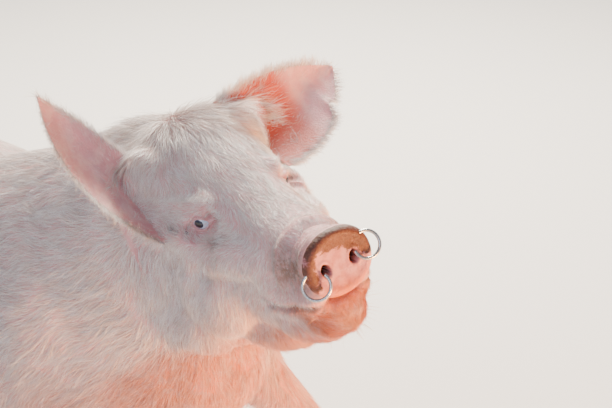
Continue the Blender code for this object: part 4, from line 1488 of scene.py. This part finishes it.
BRISTLES = 450000
PIECE_BRISTLES = 64000  # the most in one piece, at three triangles each
BRISTLE_SHADE_STEPS = np.array((-0.40, -0.40, 0.0, 0.0, 0.22))  # painted shade darkens the root; paler at the tip
PATCH = 0.003  # width of a bristle's patch on the map
UPPER_LASHES = 54
LOWER_LASHES = 20
FEELERS = 46  # on each side of the chin


def sample_roots(skin, triangles):
    """Random places on the skin, closer together where the coat is denser."""
    a, b, c = (skin.points[triangles[:, k]] for k in range(3))
    area = np.linalg.norm(np.cross(b - a, c - a), axis=1) / 2
    weight = area * thickness_share(skin)[triangles].mean(1)
    chosen = RNG.choice(len(triangles), BRISTLES, p=weight / weight.sum())
    one, two = RNG.random(BRISTLES), RNG.random(BRISTLES)
    over = one + two > 1
    one[over], two[over] = 1 - one[over], 1 - two[over]
    mix = np.stack([1 - one - two, one, two], 1)
    corners = triangles[chosen]
    points = (skin.points[corners] * mix[:, :, None]).sum(1)
    ways = unit((skin.normals[corners] * mix[:, :, None]).sum(1))
    rest = [(values[corners] * mix).sum(1) for values in (skin.front, skin.across, skin.along)]
    return Spots(points, ways, skin.part[corners[:, 0]], *rest)


def grow(roots):
    """The bristles' centre lines (start, middle and end), their lie, lengths and lifts."""
    points, normal, count = roots.points, roots.normals, len(roots.points)
    ways = lie_of(roots)
    ways = unit(ways - normal * (ways * normal).sum(1)[:, None])
    swirl = 0.30 * hash_noise(points, 0.060, 5) + 0.22 * hash_noise(points, 0.017, 6)
    angle = (swirl + RNG.normal(0, 0.16, count))[:, None]
    ways = ways * np.cos(angle) + np.cross(normal, ways) * np.sin(angle)
    length = length_of(roots)
    length *= np.clip(RNG.normal(1, 0.20, count), 0.45, 1.5) * (1 + 0.12 * hash_noise(points, 0.03, 7))
    lift = lift_of(roots) * np.clip(RNG.normal(1, 0.35, count), 0.2, 2.2)
    lift = np.clip(lift + 0.05 * hash_noise(points, 0.02, 8), 0.04, 0.9)
    lift[RNG.random(count) < 0.02] += 0.25
    across = np.cross(normal, ways)
    side_bend = RNG.normal(0, 0.10, count) + 0.10 * hash_noise(points, 0.012, 9)
    line = np.empty((count, 3, 3))
    for k, t in enumerate((0, 0.5, 1.0)):
        out = lift * t - (0.55 * lift + 0.02) * t * t
        step = ways * t + normal * out[:, None] + across * (side_bend * t * t)[:, None]
        step[:, 2] -= 0.05 * t * t
        line[:, k] = points - normal * 0.0004 + step * length[:, None]
    return line, ways, length, lift


def keep_above(line, heights, tree, wanted):
    """Raises the middle and end of each bristle above the skin that it lies on."""
    for k in (1, 2):
        for index in np.nonzero(wanted)[0]:
            place, normal, _, gap = tree.find_nearest(line[index, k])
            if place is None:
                continue
            over = (line[index, k] - np.array(place)) @ np.array(normal)
            least = heights[index] * (1 if k == 1 else 0.8)
            if over < least:
                line[index, k] += np.array(normal) * (least - over)


def chart_place(at):
    """A place in the unit square for each root, on an unwrap of the skin by rounds of its parts."""
    x, y, z = at.points.T
    around = np.arctan2(y, z - 0.52) / (2 * math.pi) + 0.5
    u, v = 0.02 + 0.60 * (x + 0.55) / 1.35, 0.02 + 0.46 * around
    head = at.x > -0.13
    turn = np.arctan2(at.y, at.z + 0.05) / (2 * math.pi) + 0.5
    u = np.where(head, 0.02 + 0.46 * (at.x + 0.13) / 0.36, u)
    v = np.where(head, 0.52 + 0.46 * turn, v)
    leg = (z < 0.40) & ~head
    index = (x > 0.1) * 2 + (y > 0)
    middle_x = np.array((-0.40, -0.32, 0.40, 0.70))[index]
    swing = np.arctan2(y - 0.15 * np.sign(y), x - middle_x)
    u = np.where(leg, 0.52 + 0.11 * index + 0.10 * (swing / (2 * math.pi) + 0.5), u)
    v = np.where(leg, 0.52 + 0.44 * z / 0.40, v)
    for number, side in enumerate(SIDES):
        ear = at.part == EAR_LEFT + number
        crown, cheek, tip, base, _ = ear_corners(side)
        reach = (at.local - base) @ unit(tip - base) / 0.2
        wide = (at.local - base) @ unit(crown - cheek) / 0.16 + 0.5
        u = np.where(ear, 0.64 + 0.17 * number + 0.08 * (at.front > 0.5) + 0.07 * np.clip(wide, 0, 1), u)
        v = np.where(ear, 0.02 + 0.40 * np.clip(reach, 0, 1), v)
    return np.clip(u, 0.004, 0.996), np.clip(v, 0.004, 0.996)


def ribbon_mesh(name, line, ways, normal, width, marks, uv):
    """One mesh of thin tapering ribbons: a quad and a point for each."""
    count = len(line)
    roll = RNG.uniform(-0.9, 0.9, count)[:, None]
    flat = np.cross(normal, ways) * np.cos(roll) + normal * np.sin(roll)
    corners = np.empty((count, 5, 3))
    for k, taper in enumerate((1.0, 0.75)):
        half = flat * (width * taper / 2)[:, None]
        corners[:, 2 * k] = line[:, k] - half
        corners[:, 2 * k + 1] = line[:, k] + half
    corners[:, 4] = line[:, 2]
    mesh = bpy.data.meshes.new(name)
    mesh.vertices.add(count * 5)
    mesh.vertices.foreach_set("co", corners.astype(np.float32).ravel())
    pattern = np.array((0, 1, 3, 2, 2, 3, 4))  # a quad, then a triangle
    loops = (np.arange(count)[:, None] * 5 + pattern[None, :]).ravel()
    mesh.loops.add(len(loops))
    mesh.loops.foreach_set("vertex_index", loops.astype(np.int32))
    starts = (np.arange(count)[:, None] * 7 + np.array((0, 4))[None, :]).ravel()
    mesh.polygons.add(count * 2)
    mesh.polygons.foreach_set("loop_start", starts.astype(np.int32))
    mesh.update(calc_edges=True)
    mesh.validate()
    layer = mesh.uv_layers.new(name="OFBake")
    down = np.array((0, 0, 0.5, 0.5, 1.0))[pattern]
    over = np.array((0, 1, 0, 1, 0.5))[pattern]
    u = uv[0][:, None] + (over - 0.5)[None, :] * PATCH
    v = uv[1][:, None] + (down - 0.5)[None, :] * PATCH
    layer.data.foreach_set("uv", np.stack([u.ravel(), v.ravel()], 1).astype(np.float32).ravel())
    # a random tone for each bristle, with painted shade at its root
    tone_and_root_shade = np.clip(RNG.normal(0.62, 0.24, count), 0, 1)[:, None] + BRISTLE_SHADE_STEPS
    second = np.repeat(marks[1], 5, 0)
    second[:, 3] = np.clip(tone_and_root_shade.ravel(), 0, 1)
    write_marks(mesh, np.repeat(marks[0], 5, 0), second)
    return in_scene(name, mesh)


def coat_piece_names(at):
    """Which piece of the coat each root belongs to."""
    names = np.where(at.points[:, 1] > 0, "coat_trunk_left", "coat_trunk_right").astype("U24")
    names[at.x > -0.32] = "coat_neck"
    names[(at.height < 0.40) & (at.points[:, 0] < 0.1)] = "coat_hindlegs"
    names[(at.height < 0.42) & (at.points[:, 0] > 0.1)] = "coat_forelegs"
    names[at.x > -0.12] = "coat_head"
    names[at.on_ear] = "coat_ears"
    names[at.part == TAIL] = "coat_tail"
    return names


def lash_lines():
    """Lashes along the lids and long feelers round the lips: lines, lie, normals and lengths."""
    starts, tips = [], []
    for way in SIDES.values():
        for number, upper in ((UPPER_LASHES, True), (LOWER_LASHES, False)):
            for share in (np.arange(number) + 0.5) / number:
                along = SLIT_HALF * (-0.95 + 1.85 * share) + RNG.normal(0, 0.0004)
                width = max(1 - (along / SLIT_HALF) ** 2, 0) ** 0.8
                up = (SLIT_UP * width + 0.0012) if upper else -(SLIT_DOWN * width + 0.0010)
                out = math.sqrt(LID_RADIUS**2 - along**2 * 0.85 - up**2)
                root = from_eye(along, up, out, way)
                size = (0.0085 if upper else 0.0055) * RNG.uniform(0.75, 1.2)
                swing = along / SLIT_HALF * 0.5 + RNG.normal(0, 0.12)
                fan = from_eye(swing, 0.15 if upper else -0.45, 1.0, way) - from_eye(0, 0, 0, way)
                starts.append(root)
                tips.append(unit(fan) * size + np.array((0, 0, 0.0012 if upper else -0.0006)))
        for _ in range(FEELERS):
            angle, back = RNG.uniform(-0.2, 1.45), RNG.uniform(0.125, 0.182)
            root = np.array((back, way * 0.036 * math.cos(angle), -0.108 - 0.036 * math.sin(angle)))
            fan = np.array((0.55 + RNG.normal(0, 0.3), way * math.cos(angle), -math.sin(angle)))
            starts.append(root)
            tips.append(unit(fan) * RNG.uniform(0.012, 0.026))
    starts, tips = np.array(starts), np.array(tips)
    line = np.stack([starts, starts + tips * 0.5, starts + tips * 1.0], 1)
    line[:, 1, 2] += 0.0006
    line = from_head(line)
    ways = unit(line[:, 2] - line[:, 0])
    return line, ways, unit(np.cross(ways, np.array((0.0, 0.2, 1.0)))), np.linalg.norm(tips, axis=1)


def make_lashes():
    line, ways, normal, length = lash_lines()
    none = np.zeros(len(line))
    at = Spots(line[:, 0], normal, none, none, none, none)
    width = 0.00026 + 0.006 * length
    return ribbon_mesh("lashes", line, ways, normal, width, marks_of(at), chart_place(at))


def make_coat(skin, triangles):
    """The coat's pieces, by name."""
    roots = sample_roots(skin, triangles)
    line, ways, length, lift = grow(roots)
    tree = BVHTree.FromPolygons(skin.points.tolist(), triangles.tolist())
    heights = np.clip(0.16 * lift * length, 0.0004, 0.006)
    keep_above(line, heights, tree, roots.part == BODY)
    width = 0.00024 + 0.0065 * length - 0.00004 * (roots.x > 0)
    width *= np.clip(RNG.normal(1, 0.15, len(width)), 0.6, 1.4)
    stains_and_painted_light, bare = marks_of(roots)
    u, v = chart_place(roots)
    names = coat_piece_names(roots)
    made = {}
    for name in sorted(set(names)):
        order = np.nonzero(names == name)[0]
        pieces = math.ceil(len(order) / PIECE_BRISTLES)
        for k in range(pieces):
            some = order[k::pieces]
            label = name if pieces == 1 else f"{name}_{k + 1}"
            rows = (line[some], ways[some], roots.normals[some], width[some])
            made[label] = ribbon_mesh(label, *rows, (stains_and_painted_light[some], bare[some]), (u[some], v[some]))
    made["lashes"] = make_lashes()
    return made


# ---------------------------------------------------------------- camera, floor and light

CAMERA_AT = Vector((1.679, -1.489, 1.705))
CAMERA_AIM = Vector((0.803, -0.041, 0.841))
LENS = 89.75
SENSOR = 36
FLOOR_SIZE = 14
FLOOR_COLOUR = (0.78, 0.76, 0.73, 1)
SKY_COLOUR = (0.80, 0.87, 1.0, 1)
SKY_STRENGTH = 0.42
# place, target, power, size and colour
LIGHTS = {
    "key": ((-0.7, 2.3, 2.8), (0.4, 0, 0.75), 500, 1.3, (1.0, 0.90, 0.76)),
    "fill": ((1.4, -3.2, 2.2), (0.3, 0, 0.6), 56, 2.4, (0.82, 0.84, 1.0)),
    "low": ((2.4, -0.1, 0.36), (0.6, 0, 0.6), 130, 0.5, (1.0, 0.42, 0.12)),
}


def look_at(made, target):
    made.rotation_mode = "QUATERNION"
    made.rotation_quaternion = (Vector(target) - made.location).to_track_quat("-Z", "Y")


def add_camera():
    data = bpy.data.cameras.new("camera")
    data.lens = LENS
    data.sensor_width = SENSOR
    data.clip_start = 0.05
    camera = in_scene("camera", data)
    camera.location = CAMERA_AT + SHIFT
    look_at(camera, CAMERA_AIM + SHIFT)
    bpy.context.scene.camera = camera


def add_floor():
    bpy.ops.mesh.primitive_plane_add(size=FLOOR_SIZE, location=(0, 0, 0))
    floor = bpy.context.object
    floor.name = "floor"
    made = bpy.data.materials.new("floor")
    made.use_nodes = True
    shader = made.node_tree.nodes["Principled BSDF"]
    shader.inputs["Base Color"].default_value = FLOOR_COLOUR
    shader.inputs["Roughness"].default_value = 0.9
    floor.data.materials.append(made)


def add_lights():
    for name, (place, target, power, size, colour) in LIGHTS.items():
        data = bpy.data.lights.new(name, "AREA")
        data.energy = power
        data.size = size
        data.color = colour
        made = in_scene(name, data)
        made.location = place
        look_at(made, target)


def add_world():
    world = bpy.data.worlds.new("studio")
    bpy.context.scene.world = world
    world.use_nodes = True
    background = world.node_tree.nodes["Background"]
    background.inputs["Color"].default_value = SKY_COLOUR
    background.inputs["Strength"].default_value = SKY_STRENGTH


# ---------------------------------------------------------------- the sow


def finish_piece(made, name, looks, nodes):
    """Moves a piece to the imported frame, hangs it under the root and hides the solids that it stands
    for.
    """
    for look in looks:
        made.data.materials.append(look)
    made.name = name
    made.data.transform(Matrix.Translation(SHIFT))
    made.data.shade_smooth()
    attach(made, "root")
    if nodes:
        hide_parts(*nodes)


add_camera()
add_floor()
add_world()
add_lights()

skin, spots = make_skin()
write_marks(skin.data, *marks_of(spots))
skin.data.calc_loop_triangles()
triangles = read(skin.data.loop_triangles, "vertices", 3, np.int32)
finish_piece(skin, "skin", [skin_look()], FLESH_NODES + list(LEGS))

bristle = coat_look()
for name, piece in make_coat(spots, triangles).items():
    finish_piece(piece, name, [bristle], ())

eye_looks, steel, horn = [eye_look(), caruncle_look()], steel_look(), horn_look()
for side in SIDES:
    finish_piece(make_eyeball(side), "eyeball_" + side, eye_looks, ["eye_" + side])
    finish_piece(make_ring(side), "ring_" + side, [steel], ["nose_ring_" + side])
for foot in FEET:
    claws = make_claws(foot)
    nodes = [f"{kind}_{foot}_{claw}" for kind in ("hoof", "dewclaw") for claw in CLAWS]
    finish_piece(claws, "claws_" + foot, [horn], nodes)
    claws.data.set_sharp_from_angle(angle=math.radians(45))
